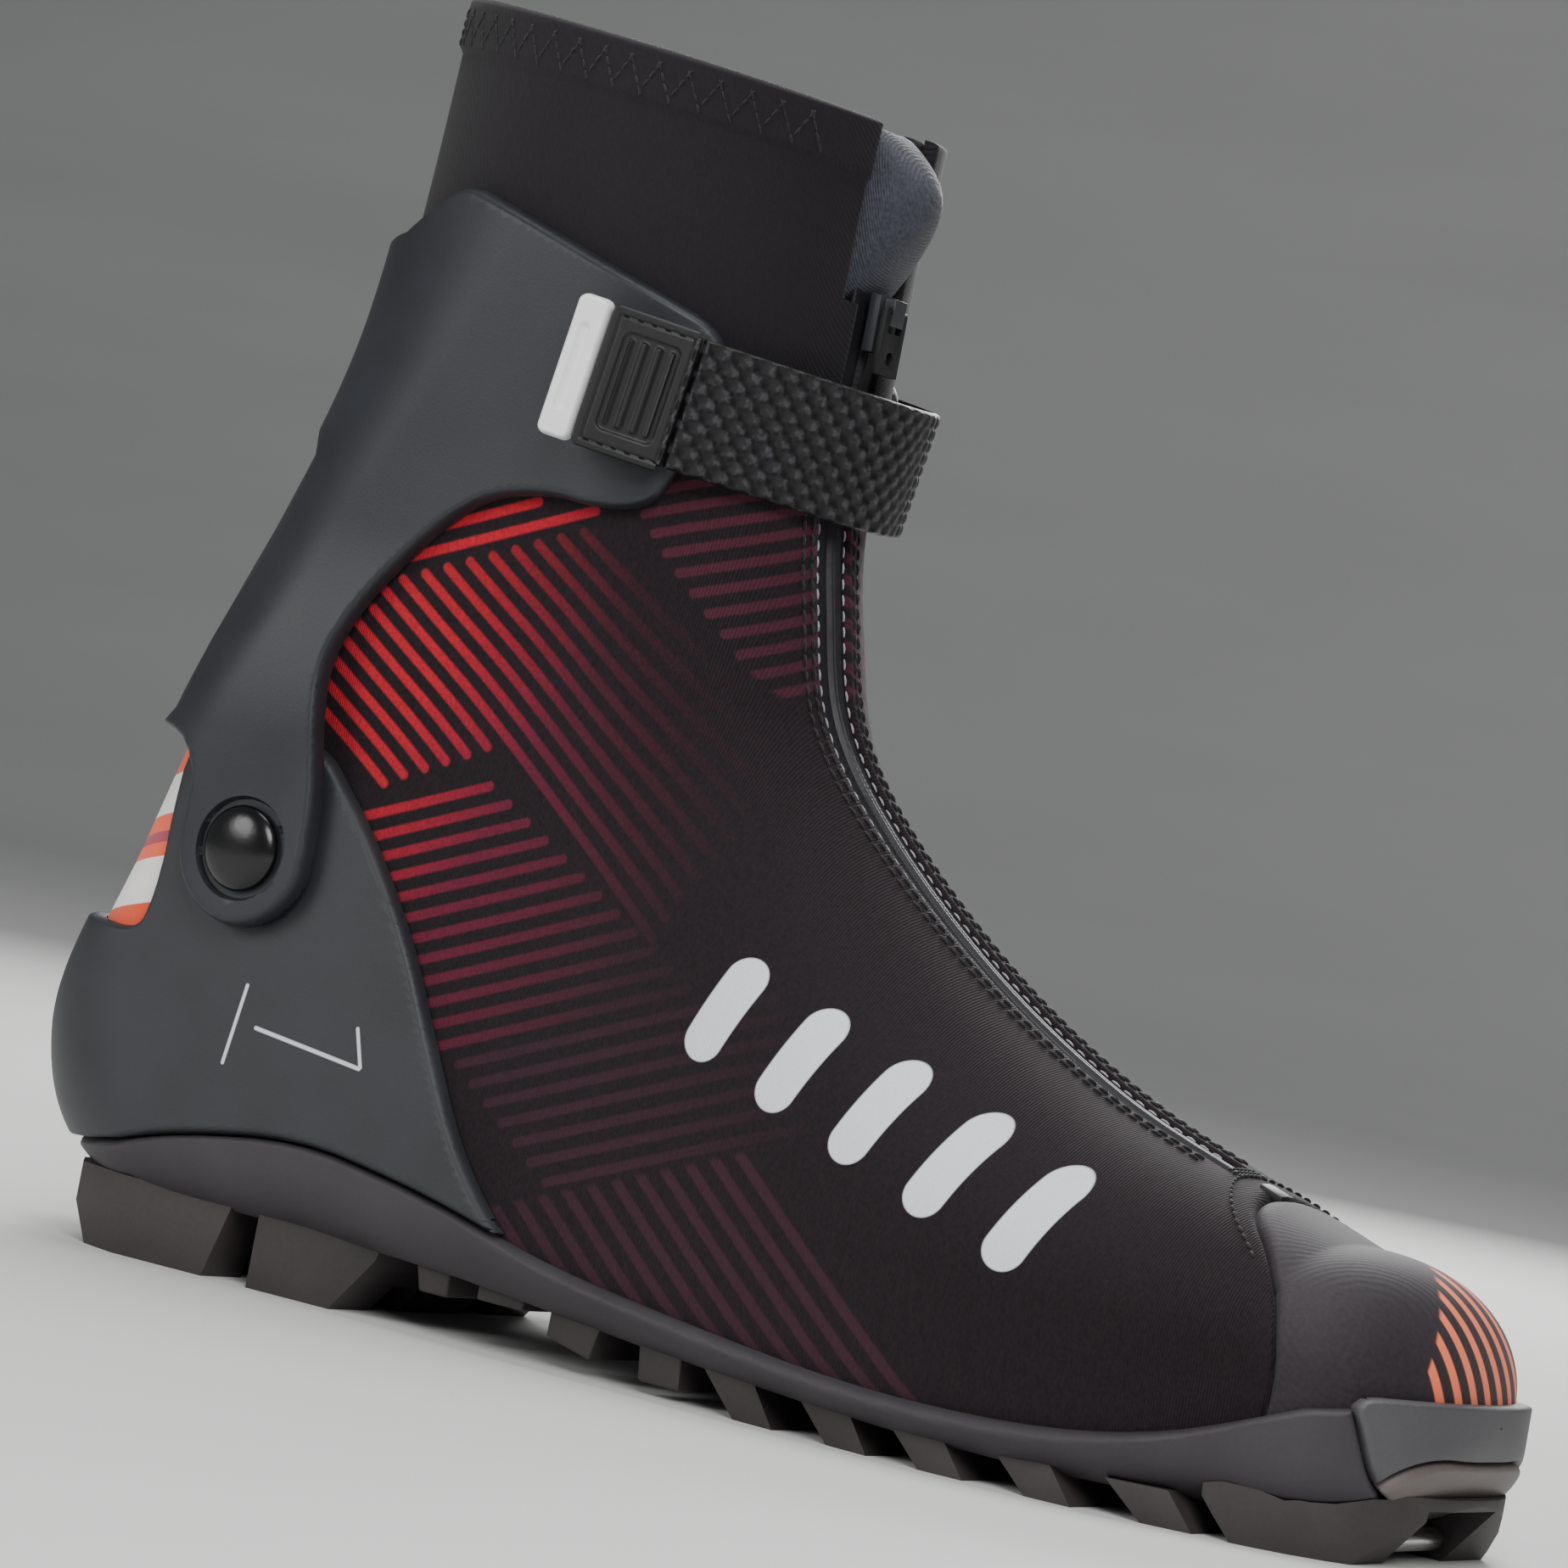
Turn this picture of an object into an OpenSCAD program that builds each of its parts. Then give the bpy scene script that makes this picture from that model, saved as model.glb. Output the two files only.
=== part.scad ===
// Skate-style cross country ski boot, right foot.
// X runs from heel to toe, Y from the outer side (-) to the inner side (+), Z up from the snow.
// Every layer of the boot is an offset of one lofted last, trimmed by outlines drawn in side view.

/* [Overall] */
// Length from the back of the heel counter to the front of the toe bumper
boot_len = 282; // [235:1:339]
// Height of the collar's rear edge above the ground
boot_height = 231; // [205:1:278]
// Width across the ball of the foot, over the fabric
ball_w = 95; // [85:1:114]

/* [Soft layers] */
// Thickness of the stretch fabric of the upper and the collar
fabric_t = 1.8; // [1.2:0.1:2.4]
// Thickness of the foam liner
liner_t = 4.2; // [3:0.1:5.2]
// Thickness of the stiffener in the toe
puff_t = 1.2; // [0.8:0.1:1.6]
// Thickness of the lasting board
board_t = 1.6; // [1:0.1:2.2]
// Thickness of the removable insole
insole_t = 3.4; // [2.4:0.1:4.4]

/* [Shells] */
// Wall of the heel counter
counter_t = 2.6; // [1.8:0.1:3.2]
// Wall of the sole's side band and the toe bumper
rand_t = 2.6; // [1.8:0.1:3.2]
// Wall of the cuff where it is thinnest
cuff_t = 2; // [1.6:0.1:2.6]
// Extra height of the cuff's raised outer panel
cuff_raise = 1.4; // [1:0.1:2]

/* [Ankle pivot] */
// Radius of the rivet's shank
rivet_r = 3; // [2.4:0.1:3.8]
// Radius of the rivet's domed head
rivet_head_r = 7.6; // [6:0.1:9.2]
// Height of the rivet's domed head
rivet_dome_h = 3; // [2:0.1:3.6]
// Radius of the rounded end of each cuff arm
arm_r = 14; // [12:0.5:17]
// Thickness of the washer between the arm and the counter
washer_t = 0.8; // [0.5:0.1:1]
// Angle left open for the ankle to bend forwards
flex_room = 22; // [20:1:26]

/* [Strap] */
// Width of the webbing
strap_w = 23; // [19:1:28]
// Thickness of the webbing
strap_t = 1.6; // [1.2:0.1:2]
// Length of the moulded grip on the end of the strap
tip_len = 6; // [5:0.5:8]
// Slope of the strap, down towards the toe
strap_slope = 9; // [4:1:14]

/* [Zip] */
// Width of the slot that the zip closes
zip_slot_w = 7; // [6:0.5:8.4]
// Width of the zip's tape under the fabric
zip_tape_w = 20; // [17:0.5:24]
// Width of the two closed rows of teeth
zip_teeth_w = 5; // [4:0.5:6]
// Length of the slider
slider_len = 10; // [8:0.5:12]

/* [Sole] */
// Diameter of the steel bar that the binding grips
bar_d = 4; // [3.3:0.1:4.8]
// Width of the recess around the bar
bar_gap_w = 24; // [20:1:29]
// Width of each of the two grooves that the binding's rails fill
groove_w = 9; // [7:0.5:11]
// Distance between the grooves' centre lines
groove_pitch = 30; // [25:1:36]
// Length of the stiffening shank
shank_len = 86; // [70:1:100]
// Width of the stiffening shank
shank_w = 26; // [20:1:32]

/* [Lacing] */
// Diameter of the inner lace
lace_d = 1.6; // [1.2:0.1:1.9]
// Width that the lace spans
lace_span = 26; // [22:1:30]
// Number of times the lace crosses the tongue
lace_runs = 9; // [5:2:11]

/* [Hidden] */

// Clearances
fit = 0.2;            // between layers that lie on each other
run_fit = 0.05;       // radial, rivet in the arm
counter_gap = 0.6;    // between the upper's fabric and the heel counter
open_fit = 0.3;       // between pieces that move past each other
cuff_gap = 0.6;       // between the collar's fabric and the cuff
eps = 0.02;
far = 500;

// The last's stations are drawn for this size, then graded to the sizes above
drawn_heel = 1.7;
drawn_toe = 283.7;
last_height = 231;
last_ball_w = 95;
ankle_z = 75;
gx = boot_len/(drawn_toe - drawn_heel);
gz = (boot_height - ankle_z)/(last_height - ankle_z);
gw = ball_w/last_ball_w;
function zed(z) = z < ankle_z ? z : ankle_z + (z - ankle_z)*gz;
function at(x, z) = [x*gx, zed(z)];
function line(points) = [for (p = points) at(p[0], p[1])];

// Stations from toe to collar. Each is a section between a front or top point and a back or
// bottom point: [front x, front z, back x, back z, outer half width, inner half width,
// length of the front cap, length of the back cap, squareness of the back cap]
last = [
    [256, 48, 257, 6.5, 36, 34, 20, 12, 3.4],
    [236, 54.5, 233, 4.5, 45, 43, 26, 12, 3.4],
    [209, 64, 203, 4.5, 49, 46, 34, 12, 3.4],
    [182.5, 78.5, 167, 6, 47, 43, 42, 13, 3.2],
    [158, 97.5, 125, 9, 42, 39, 44, 13, 3],
    [142.5, 115.5, 75, 11.5, 36, 36, 42, 13, 2.8],
    [136, 136, 24, 12, 33, 34, 40, 20, 2.5],
    [133, 152, 4.2, 32, 32, 33, 38, 31, 2.25],
    [132.5, 167, 11.8, 66, 33, 34, 38, 36, 2.15],
    [133, 183, 23.5, 114, 34, 35, 38, 42, 2],
    [133, 201, 39.5, 165, 36, 37, 38, 44, 2],
    [133.5, 219, 45.5, 231, 38, 38, 38, 42, 2]
];
toe_tip = [281.4, 4, 24];  // foremost point of the fabric
toe_square = 2.3;          // squareness of the toe's outline
front_square = 2.15;       // squareness of the front cap
cap_steps = 5;
toe_steps = 5;
station_step = 0.5;
above_collar = 12;         // the last runs on past the collar's edge
top_v = len(last) - 1;

function graded(s) = let (f = at(s[0], s[1]), b = at(s[2], s[3]))
    [f[0], f[1], b[0], b[1], s[4]*gw, s[5]*gw, s[6]*gx, s[7], s[8]];
function stop_at(k) = k < 0 ? 2*graded(last[0]) - graded(last[1])
    : k > top_v ? 2*graded(last[top_v]) - graded(last[top_v - 1]) : graded(last[k]);
function spline(a, b, c, d, t) =
    (2*b + (c - a)*t + (2*a - 5*b + 4*c - d)*t*t + (3*b - a - 3*c + d)*t*t*t)/2;
function station(v) = let (k = min(floor(v), top_v - 1))
    spline(stop_at(k - 1), stop_at(k), stop_at(k + 1), stop_at(k + 2), v - k);
function toward_front(s) = let (d = [s[0] - s[2], s[1] - s[3]]) d/norm(d);
// The section moved outwards by a distance, or inwards if it is negative
function grown(s, by) = let (u = toward_front(s))
    [s[0] + u[0]*by, s[1] + u[1]*by, s[2] - u[0]*by, s[3] - u[1]*by,
     s[4] + by, s[5] + by, s[6] + by, s[7] + by, s[8]];
function bulge(a, squareness) = [1 - pow(cos(a), 2/squareness), pow(sin(a), 2/squareness)];
// Half of a section as [distance from its back point, share of its half width]
function half(s, side_steps) = let (
    reach = norm([s[0] - s[2], s[1] - s[3]]),
    k = min(1, 0.96*reach/(s[6] + s[7])))
    concat(
        [for (i = [0:cap_steps]) let (c = bulge(90*i/cap_steps, front_square))
            [reach - k*s[6]*c[0], c[1]]],
        [for (i = [1:1:side_steps - 1]) let (f = i/side_steps)
            [(1 - f)*(reach - k*s[6]) + f*k*s[7], 1]],
        [for (i = [cap_steps:-1:0]) let (c = bulge(90*i/cap_steps, s[8]))
            [k*s[7]*c[0], c[1]]]);
function ring(s, y0 = 0, side_steps = 1) = let (
    u = toward_front(s),
    h = half(s, side_steps),
    m = len(h))
    concat(
        [for (p = h) [s[2] + u[0]*p[0], y0 - s[4]*p[1], s[3] + u[1]*p[0]]],
        [for (i = [m - 2:-1:1]) let (p = h[i])
            [s[2] + u[0]*p[0], y0 + s[5]*p[1], s[3] + u[1]*p[0]]]);
// The toe is closed by sections that shrink along a rounded outline to the tip
function toe_ring(i, by) = let (
    a = 90*i/(toe_steps + 1),
    s = grown(station(0), by),
    wide = pow(sin(a), 2/toe_square),
    ahead = pow(cos(a), 2/toe_square),
    mid = (s[0] + s[2])/2,
    reach = toe_tip[0]*gx + by - mid)
    ring([mid + (s[0] - mid)*wide + reach*ahead, toe_tip[2] + (s[1] - toe_tip[2])*wide,
          mid + (s[2] - mid)*wide + reach*ahead, toe_tip[2] + (s[3] - toe_tip[2])*wide,
          s[4]*wide, s[5]*wide, s[6]*wide, s[7]*wide, s[8]], toe_tip[1]*ahead);
function raised(s, by) = [s[0], s[1] + by, s[2], s[3] + by, s[4], s[5], s[6], s[7], s[8]];

module skin(rings) {
    n = len(rings[0]);
    m = len(rings);
    polyhedron(
        points = [for (r = rings) each r],
        faces = concat(
            [[for (i = [n - 1:-1:0]) i]],
            [for (j = [0:m - 2], i = [0:n - 1])
                let (a = j*n + i, b = j*n + (i + 1)%n) each [[a, b, b + n], [a, b + n, a + n]]],
            [[for (i = [0:n - 1]) (m - 1)*n + i]]),
        convexity = 8);
}

// The last, grown by a distance, from station v0 to station v1
module last_body(by, v0 = 0, v1 = top_v) {
    skin(concat(
        v0 > 0 ? [] : [for (i = [1:toe_steps]) toe_ring(i, by)],
        [for (v = [v0:station_step:v1]) ring(grown(station(v), by))],
        v1 < top_v ? [] : [ring(raised(grown(station(top_v), by), above_collar))]));
}

module shell(inside, outside, v0 = 0, v1 = top_v) {
    difference() {
        last_body(outside, v0, v1);
        last_body(inside, v0 > 0 ? v0 - station_step : 0, v1);
    }
}

// The half of the last in front of its mid line, and the part beyond a station's plane
module front_half() {
    mid = [for (v = [0:0.5:top_v]) let (s = station(v)) [s[0] + s[2], s[1] + s[3]]/2];
    side_prism(concat([mid[0] + [far, 0]], mid, [mid[len(mid) - 1] + [0, far], [far, far]]));
}
module beyond(v) {
    s = station(v);
    u = toward_front(s);
    n = [-u[1], u[0]];
    f = [s[0], s[1]] + far*u;
    b = [s[2], s[3]] - far*u;
    side_prism([f, f + far*n, b + far*n, b]);
}
// A strip along the front of the last: its width, and the stations between which it lies
module front_band(wide, v0, v1) {
    intersection() {
        front_half();
        translate([-far, -wide/2, -far])
            cube([2*far, wide, 2*far]);
        difference() {
            beyond(v0);
            beyond(v1);
        }
    }
}
module front_strip(wide, inside, outside, v0, v1) {
    intersection() {
        shell(inside, outside, max(0, floor(v0) - 1), top_v);
        front_band(wide, v0, v1);
    }
}

// A prism across the boot with an outline in side view
module side_prism(outline, wide = 2*far) {
    rotate([90, 0, 0])
        linear_extrude(wide, center = true)
            polygon(outline);
}
module above(edge) {
    side_prism(concat(edge, [[far, far], [-far, far]]));
}
module below(edge) {
    side_prism(concat(edge, [[far, -far], [-far, -far]]));
}
function shifted(edge, up) = [for (p = edge) [p[0], p[1] + up]];

// The ankle's pivot, and the rays from it that part the foot from the shaft
pivot = at(51, 75);
front_ray = 15;
back_ray = 150;
back_room = 8;
pivot_clear_r = 5;
function ray(a) = pivot + far*[cos(a), sin(a)];
module foot_side() {
    difference() {
        side_prism(concat([pivot], [for (k = [0:5])
            ray(back_ray + (360 + front_ray - back_ray)*k/5)]));
        pivot_hole(pivot_clear_r);
    }
}
module shaft_side() {
    a0 = front_ray + flex_room;
    a1 = back_ray - back_room;
    difference() {
        side_prism(concat([pivot], [for (k = [0:3]) ray(a0 + (a1 - a0)*k/3)]));
        pivot_hole(pivot_clear_r);
    }
}
module bend_side() {
    gap = 0.4;
    difference() {
        union() {
            side_prism([pivot, ray(front_ray + gap), ray(front_ray + flex_room - gap)]);
            side_prism([pivot, ray(back_ray - back_room + gap), ray(back_ray - gap)]);
        }
        pivot_hole(pivot_clear_r + 2);
    }
}
module pivot_hole(r) {
    translate([pivot[0], 0, pivot[1]])
        rotate([90, 0, 0])
            cylinder(h = 2*far, r = r, center = true, $fn = 32);
}

// Everything is drawn with the heel near X = 0, then moved so that the origin is mid-length
module placed() {
    translate([-boot_len/2 - drawn_heel*gx, 0, 0])
        children();
}
// One mesh, so that lofted skins can be cut cleanly
module one_skin() {
    resize([0, 0, 0])
        children();
}

// Edges in side view, from heel to toe
sole_under = line([[-40, 14.5], [60, 14], [106, 13], [123, 11.5], [141, 9.6], [158, 8.8],
    [191, 7], [223, 6], [244, 6.2], [330, 6.6]]);
plate_top = line([[-40, 20.5], [80, 20], [95, 18.6], [200, 10.4], [232, 10.2], [252, 12.4],
    [330, 20]]);
rand_top = line([[-40, 18.5], [24, 18.5], [48, 24], [72, 27.4], [95, 24.5], [112, 21.5],
    [130, 17.4], [159, 14], [193, 10.8], [224, 11], [250, 15], [268, 20.5], [330, 27]]);
collar_edge = let (s = station(top_v), u = toward_front(s))
    [[s[2], s[3]] - far*u, [s[0], s[1]] + far*u];
counter_edge = line([[-40, 59], [18, 57.5], [27, 57], [30, 60], [32, 78], [33, 91], [40, 94.5],
    [51, 97], [61, 94.5], [66, 89], [73, 82], [86, 66], [96, 49], [106, 33.5], [117, 22.5],
    [128, 15], [130, -20]]);
toe_seam = line([[234, 70], [240, 62], [248, 54], [255, 47], [259, 38], [260, 26], [258, 8]]);
bumper_edge = line([[330, 29], [276, 27], [271, 24], [277, 12.5], [330, 12.5]]);

// ---- Sole ----
module sole_plate() {
    color("#2b2a2c")
        placed()
            difference() {
                one_skin()
                    intersection() {
                        last_body(0, 0, 7);
                        above(sole_under);
                        below(plate_top);
                    }
                shank_place(fit);
                toe_recess();
            }
}

module shank_place(by) {
    from = at(102, 18);
    to = at(200, 10.4);
    slope = atan2(to[1] - plate_z(from[0]), to[0] - from[0]);
    deep = shank_deep + fit;
    translate([from[0], 0, plate_z(from[0])])
        rotate([0, -slope, 0])
            translate([-by, -shank_w/2 - by, -deep])
                cube([shank_len + 2*by, shank_w + 2*by, by > 0 ? 2*deep : shank_deep]);
}
shank_deep = 1.6;
function plate_z(x) = lookup(x, [for (p = plate_top) p]);

module shank() {
    color("#1a1a1a")
        placed()
            shank_place(0);
}

module sole_rand() {
    color("#333336")
        placed()
            one_skin()
                difference() {
                    intersection() {
                        shell(fit, fit + rand_t, 0, 7.5);
                        above(sole_under);
                        below(rand_top);
                    }
                    front_of(bumper_edge);
                    toe_recess();
                }
}

module front_of(edge) {
    side_prism(concat(edge, [[far, edge[len(edge) - 1][1]], [far, edge[0][1]]]));
}

// Plan outline of the sole, for the treads
module sole_plan(inset) {
    edge = [for (x = [13:7:260]) [x*gx, x]];
    polygon(concat(
        [for (e = edge) [e[0], -tread_half(e[1], 0) + inset]],
        [for (i = [len(edge) - 1:-1:0]) [edge[i][0], tread_half(edge[i][1], 1) - inset]]));
}
// Half width of the tread at a distance from the heel, outer side 0 and inner side 1
tread_outer = [[13, 15], [20, 25], [34, 31], [70, 32], [120, 34], [165, 41], [205, 45], [235, 43],
    [262, 34]];
tread_inner = [[13, 15], [20, 25], [34, 31], [70, 32], [120, 32], [165, 37], [205, 42], [235, 41],
    [262, 33]];
function tread_half(x, side) = gw*lookup(x, side == 0 ? tread_outer : tread_inner);

module tread(outlines) {
    difference() {
        intersection() {
            for (o = outlines)
                side_prism(line(o), 140);
            linear_extrude(60, center = true)
                sole_plan(0);
            below(shifted(sole_under, -fit));
        }
        for (side = [-1, 1])
            translate([-far/2, side*groove_pitch/2 - groove_w/2, -eps])
                cube([far*2, groove_w, 5]);
        toe_recess();
    }
}

module heel_tread() {
    color("#5b504b")
        placed()
            tread([
                [[14, 20], [15, 14], [25, 0], [54, 0], [60, 20]],
                [[64, 20], [64, 0], [82, 0], [90, 10], [93, 20]]
            ]);
}

module arch_ribs() {
    color("#5b504b")
        placed()
            tread([
                [[96, 20], [100, 7], [106, 7], [106, 20]],
                [[112, 20], [112, 8], [122, 8], [122, 20]],
                [[128, 20], [128, 5], [138, 3], [142, 20]],
                [[146, 20], [149, 2], [158, 2], [156, 20]]
            ]);
}

// Slanted lugs, each leaning forwards
lug_x = [170, 189, 207, 226, 245];
module forefoot_tread() {
    color("#5b504b")
        placed()
            tread([for (x = lug_x)
                [[x - 12, 12], [x - 7, 6.4], [x, 0], [x + 8, 0], [x + 3, 6.4], [x + 3, 12]]]);
}

// ---- Toe ----
bar_at = at(273, 3.4);
block_h = 12;
module toe_recess() {
    translate([bar_at[0] - 6.6, -bar_gap_w/2, -20])
        cube([far, bar_gap_w, 20 + 10]);
}
module toe_block() {
    outline = line([[253, 12], [253.5, 6.4], [259, 0], [275, 0], [283.6, 11], [283.6, 12]]);
    color("#3a3537")
        placed()
            difference() {
                one_skin()
                    difference() {
                        intersection() {
                            side_prism(outline);
                            linear_extrude(60, center = true)
                                toe_plan();
                        }
                        last_body(2*fit + rand_t, 0, 2);
                    }
                toe_recess();
                bar_bore(run_fit);
            }
}
// Plan outline of the toe block, a rounded end on the same squareness as the toe
module toe_plan() {
    from = 248*gx;
    ahead = 283.6*gx - from;
    polygon([for (a = [-90:10:90]) let (
        way = pow(cos(a), 2/toe_square),
        side = (a < 0 ? -38 : 36)*gw*pow(abs(sin(a)), 2/toe_square))
        [from + ahead*way, toe_tip[1]*way + side]]);
}
module bar_bore(by) {
    translate([bar_at[0], 0, bar_at[1]])
        rotate([90, 0, 0])
            cylinder(h = bar_len + 2*by, r = bar_d/2 + by, center = true, $fn = 40);
}
bar_len = bar_gap_w + 14;

module toe_bar() {
    color("#c9c9cc")
        placed()
            bar_bore(0);
}

module toe_bumper() {
    color("#38373a")
        placed()
            difference() {
                one_skin()
                    intersection() {
                        shell(fit, fit + rand_t, 0, 1);
                        front_of(bumper_edge_inset);
                    }
                toe_recess();
            }
}
bumper_edge_inset = [for (i = [0:len(bumper_edge) - 1])
    bumper_edge[i] + [fit, i < 2 ? -fit : fit]];

// ---- Heel counter and ankle pivot ----
// The pivot's flat faces, outer side and inner side: [sign, half width of the fabric there]
sides = [[-1, pivot_half(4)], [1, pivot_half(5)]];
function pivot_half(column) = station(7)[column];
land_r = 9;
function land(h) = h + counter_gap + counter_t + 0.4;
module at_pivot(side, from, to, r, r2 = undef) {
    translate([pivot[0], 0, pivot[1]])
        rotate([side < 0 ? 90 : -90, 0, 0])
            translate([0, 0, from])
                cylinder(h = to - from, r1 = r, r2 = is_undef(r2) ? r : r2, $fn = 48);
}

module heel_counter() {
    color("#3b3c40")
        placed()
            difference() {
                union() {
                    one_skin()
                        intersection() {
                            shell(counter_gap, counter_gap + counter_t, 3, 10);
                            below(counter_edge);
                            above(shifted(rand_top, fit));
                        }
                    for (s = sides)
                        at_pivot(s[0], s[1] + 1, land(s[1]), land_r);
                }
                for (s = sides) {
                    at_pivot(s[0], 0, s[1] + counter_gap + flange_t, flange_r + fit);
                    at_pivot(s[0], 0, s[1] + 20, rivet_r + run_fit);
                }
            }
}
flange_t = 1.2;
flange_gap = 0.4;
flange_r = rivet_r + 2.6;
arm_plate_t = cuff_t + 0.6;
function arm_inside(h) = land(h) + washer_t + 0.2;
function arm_outside(h) = arm_inside(h) + arm_plate_t;

module pivot_rivets() {
    color("#0c0c0d")
        placed()
            for (s = sides) {
                at_pivot(s[0], s[1] + flange_gap, s[1] + counter_gap + flange_t - fit, flange_r);
                at_pivot(s[0], s[1] + flange_gap, arm_outside(s[1]) + open_fit + 0.3, rivet_r);
                dome(s[0], arm_outside(s[1]) + open_fit);
            }
}
module dome(side, from) {
    bow = (rivet_head_r*rivet_head_r + rivet_dome_h*rivet_dome_h)/(2*rivet_dome_h);
    translate([pivot[0], 0, pivot[1]])
        rotate([side < 0 ? 90 : -90, 0, 0])
            intersection() {
                translate([0, 0, from + rivet_dome_h - bow])
                    sphere(r = bow, $fn = 64);
                translate([0, 0, from])
                    cylinder(h = 10, r = rivet_head_r, $fn = 64);
            }
}
module pivot_washers() {
    color("#c8c4b8")
        placed()
            for (s = sides)
                difference() {
                    at_pivot(s[0], land(s[1]) + 0.1, land(s[1]) + 0.1 + washer_t, land_r - 1);
                    at_pivot(s[0], 0, s[1] + 20, rivet_r + run_fit);
                }
}

// ---- Upper ----
zip_end_v = 0.6;
module fabric_shell() {
    intersection() {
        shell(-fabric_t, 0);
        above(shifted(plate_top, fit));
        foot_side();
    }
}
heel_seam = line([[-40, 54], [22, 54], [26, 54], [36, 62], [40, 75], [40, 120]]);
module vamp() {
    color("#2a1c26")
        placed()
            one_skin()
                difference() {
                    fabric_shell();
                    front_band(zip_slot_w, zip_end_v, 8);
                    front_of([for (p = toe_seam) p - [fit, 0]]);
                    behind(heel_seam);
                }
}
module behind(edge) {
    side_prism(concat(edge, [[-40, 120]]));
}
module heel_panel() {
    color("#e0542b")
        placed()
            one_skin()
                intersection() {
                    fabric_shell();
                    behind([for (p = heel_seam) p + [-fit, fit]]);
                }
}
module toe_panel() {
    color("#1f171d")
        placed()
            one_skin()
                intersection() {
                    fabric_shell();
                    front_of(toe_seam);
                }
}

puff_edge = line([[232, 80], [238, 60], [240, 8]]);
module toe_puff() {
    color("#d8cfb8")
        placed()
            one_skin()
                intersection() {
                    shell(-fabric_t - fit - puff_t, -fabric_t - fit, 0, 2);
                    front_of([for (p = puff_edge) p + [fit, 0]]);
                    above(shifted(plate_top, fit));
                }
}
liner_out = -fabric_t - fit;
liner_in = liner_out - liner_t;
board_top = shifted(plate_top, 2*fit + board_t);
module lasting_board() {
    color("#b9a988")
        placed()
            one_skin()
                intersection() {
                    last_body(liner_in + 1, 0, 7);
                    above(shifted(plate_top, fit));
                    below(shifted(board_top, -fit));
                }
}
module insole() {
    color("#8a2a2a")
        placed()
            one_skin()
                intersection() {
                    last_body(liner_in - fit, 0, 7);
                    above(board_top);
                    below(shifted(board_top, insole_t));
                }
}
throat_w = 34;
module foot_liner() {
    color("#3f3f46")
        placed()
            one_skin()
                difference() {
                    intersection() {
                        shell(liner_in, liner_out);
                        above(board_top);
                        foot_side();
                    }
                    intersection() {
                        last_body(2);
                        front_of(puff_edge);
                        difference() {
                            last_body(4, 0, 3);
                            last_body(liner_out - puff_t - fit, 0, 3);
                        }
                    }
                    front_band(throat_w, 1.4, 8);
                    difference() {
                        front_band(throat_w + 20, 0.9, 8);
                        last_body(liner_out - loop_t - 2*fit, 0, 8);
                    }
                }
}
loop_t = 0.9;
lace_edge = lace_span/2 + lace_d/2 + open_fit;

// ---- Tongue, lace and zip ----
tongue_t = 1.4;
tongue_in = liner_in;
module tongue() {
    color("#4a4a52")
        placed()
            one_skin()
                intersection() {
                    front_strip(throat_w - 2, tongue_in, tongue_in + tongue_t, 1.6, 8);
                    foot_side();
                }
}

// The lace zigzags over the tongue between the loops
lace_off = tongue_in + tongue_t + fit/2 + lace_d/2;
lace_from_v = 2;
lace_to_v = 4;
function front_point(v, y, by) = let (
    s = grown(station(v), by),
    u = toward_front(s),
    side = y < 0 ? s[4] : s[5],
    c = bulge(asin(pow(abs(y)/side, front_square/2)), front_square),
    reach = norm([s[0] - s[2], s[1] - s[3]]) - s[6]*c[0])
    [s[2] + u[0]*reach, y, s[3] + u[1]*reach];
lace_path = [for (k = [0:lace_runs]) each let (
    v = lace_from_v + (lace_to_v - lace_from_v)*k/lace_runs,
    w = lace_span/2,
    way = k%2 == 0 ? 1 : -1)
    [for (f = k == lace_runs ? [1] : [1, 0.5, 0, -0.5])
        front_point(v + (1 - f)/2*(lace_to_v - lace_from_v)/lace_runs, way*f*w, lace_off)]];
function unit(a) = a/norm(a);
module cord(path, r, n = 6) {
    skin([for (i = [0:len(path) - 1]) let (
        t = unit(path[min(i + 1, len(path) - 1)] - path[max(i - 1, 0)]),
        a = unit(cross(t, [0.3, 0.1, 1])),
        b = cross(t, a))
        [for (k = [0:n - 1]) path[i] + r*(a*cos(360*k/n) - b*sin(360*k/n))]]);
}
module lace() {
    color("#e05a30")
        placed()
            cord(lace_path, lace_d/2);
}
module lace_loops() {
    color("#1c1c1e")
        placed()
            for (k = [0:lace_runs]) {
                v = lace_from_v + (lace_to_v - lace_from_v)*k/lace_runs;
                way = k%2 == 0 ? 1 : -1;
                loop_len = 0.12;
                one_skin()
                    intersection() {
                        front_strip(throat_w + 16, liner_out - loop_t - fit, liner_out - fit,
                            v - loop_len, v + loop_len);
                        translate([0, way > 0 ? lace_edge : -far - lace_edge, 0])
                            cube([far, far, far]);
                    }
            }
}

tape_t = 0.6;
module zip_tape(v0, v1) {
    difference() {
        front_strip(zip_tape_w, liner_out - tape_t, liner_out, v0, v1);
        front_band(0.6, v0 - 0.2, v1 + 0.2);
    }
}
module zip_teeth(v0, v1) {
    front_strip(zip_teeth_w, liner_out + fit/2, -0.4, v0, v1);
}
module zip_tape_lower() {
    color("#151516")
        placed()
            one_skin()
                intersection() {
                    zip_tape(1.0, 8);
                    foot_side();
                }
}
module zip_teeth_lower() {
    color("#6d6d70")
        placed()
            one_skin()
                intersection() {
                    zip_teeth(1.0, 8);
                    foot_side();
                }
}
module zip_end_stop() {
    color("#6d6d70")
        placed()
            one_skin()
                front_strip(zip_teeth_w, liner_out + fit/2, 0.6, 0.75, 0.95);
}

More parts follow.
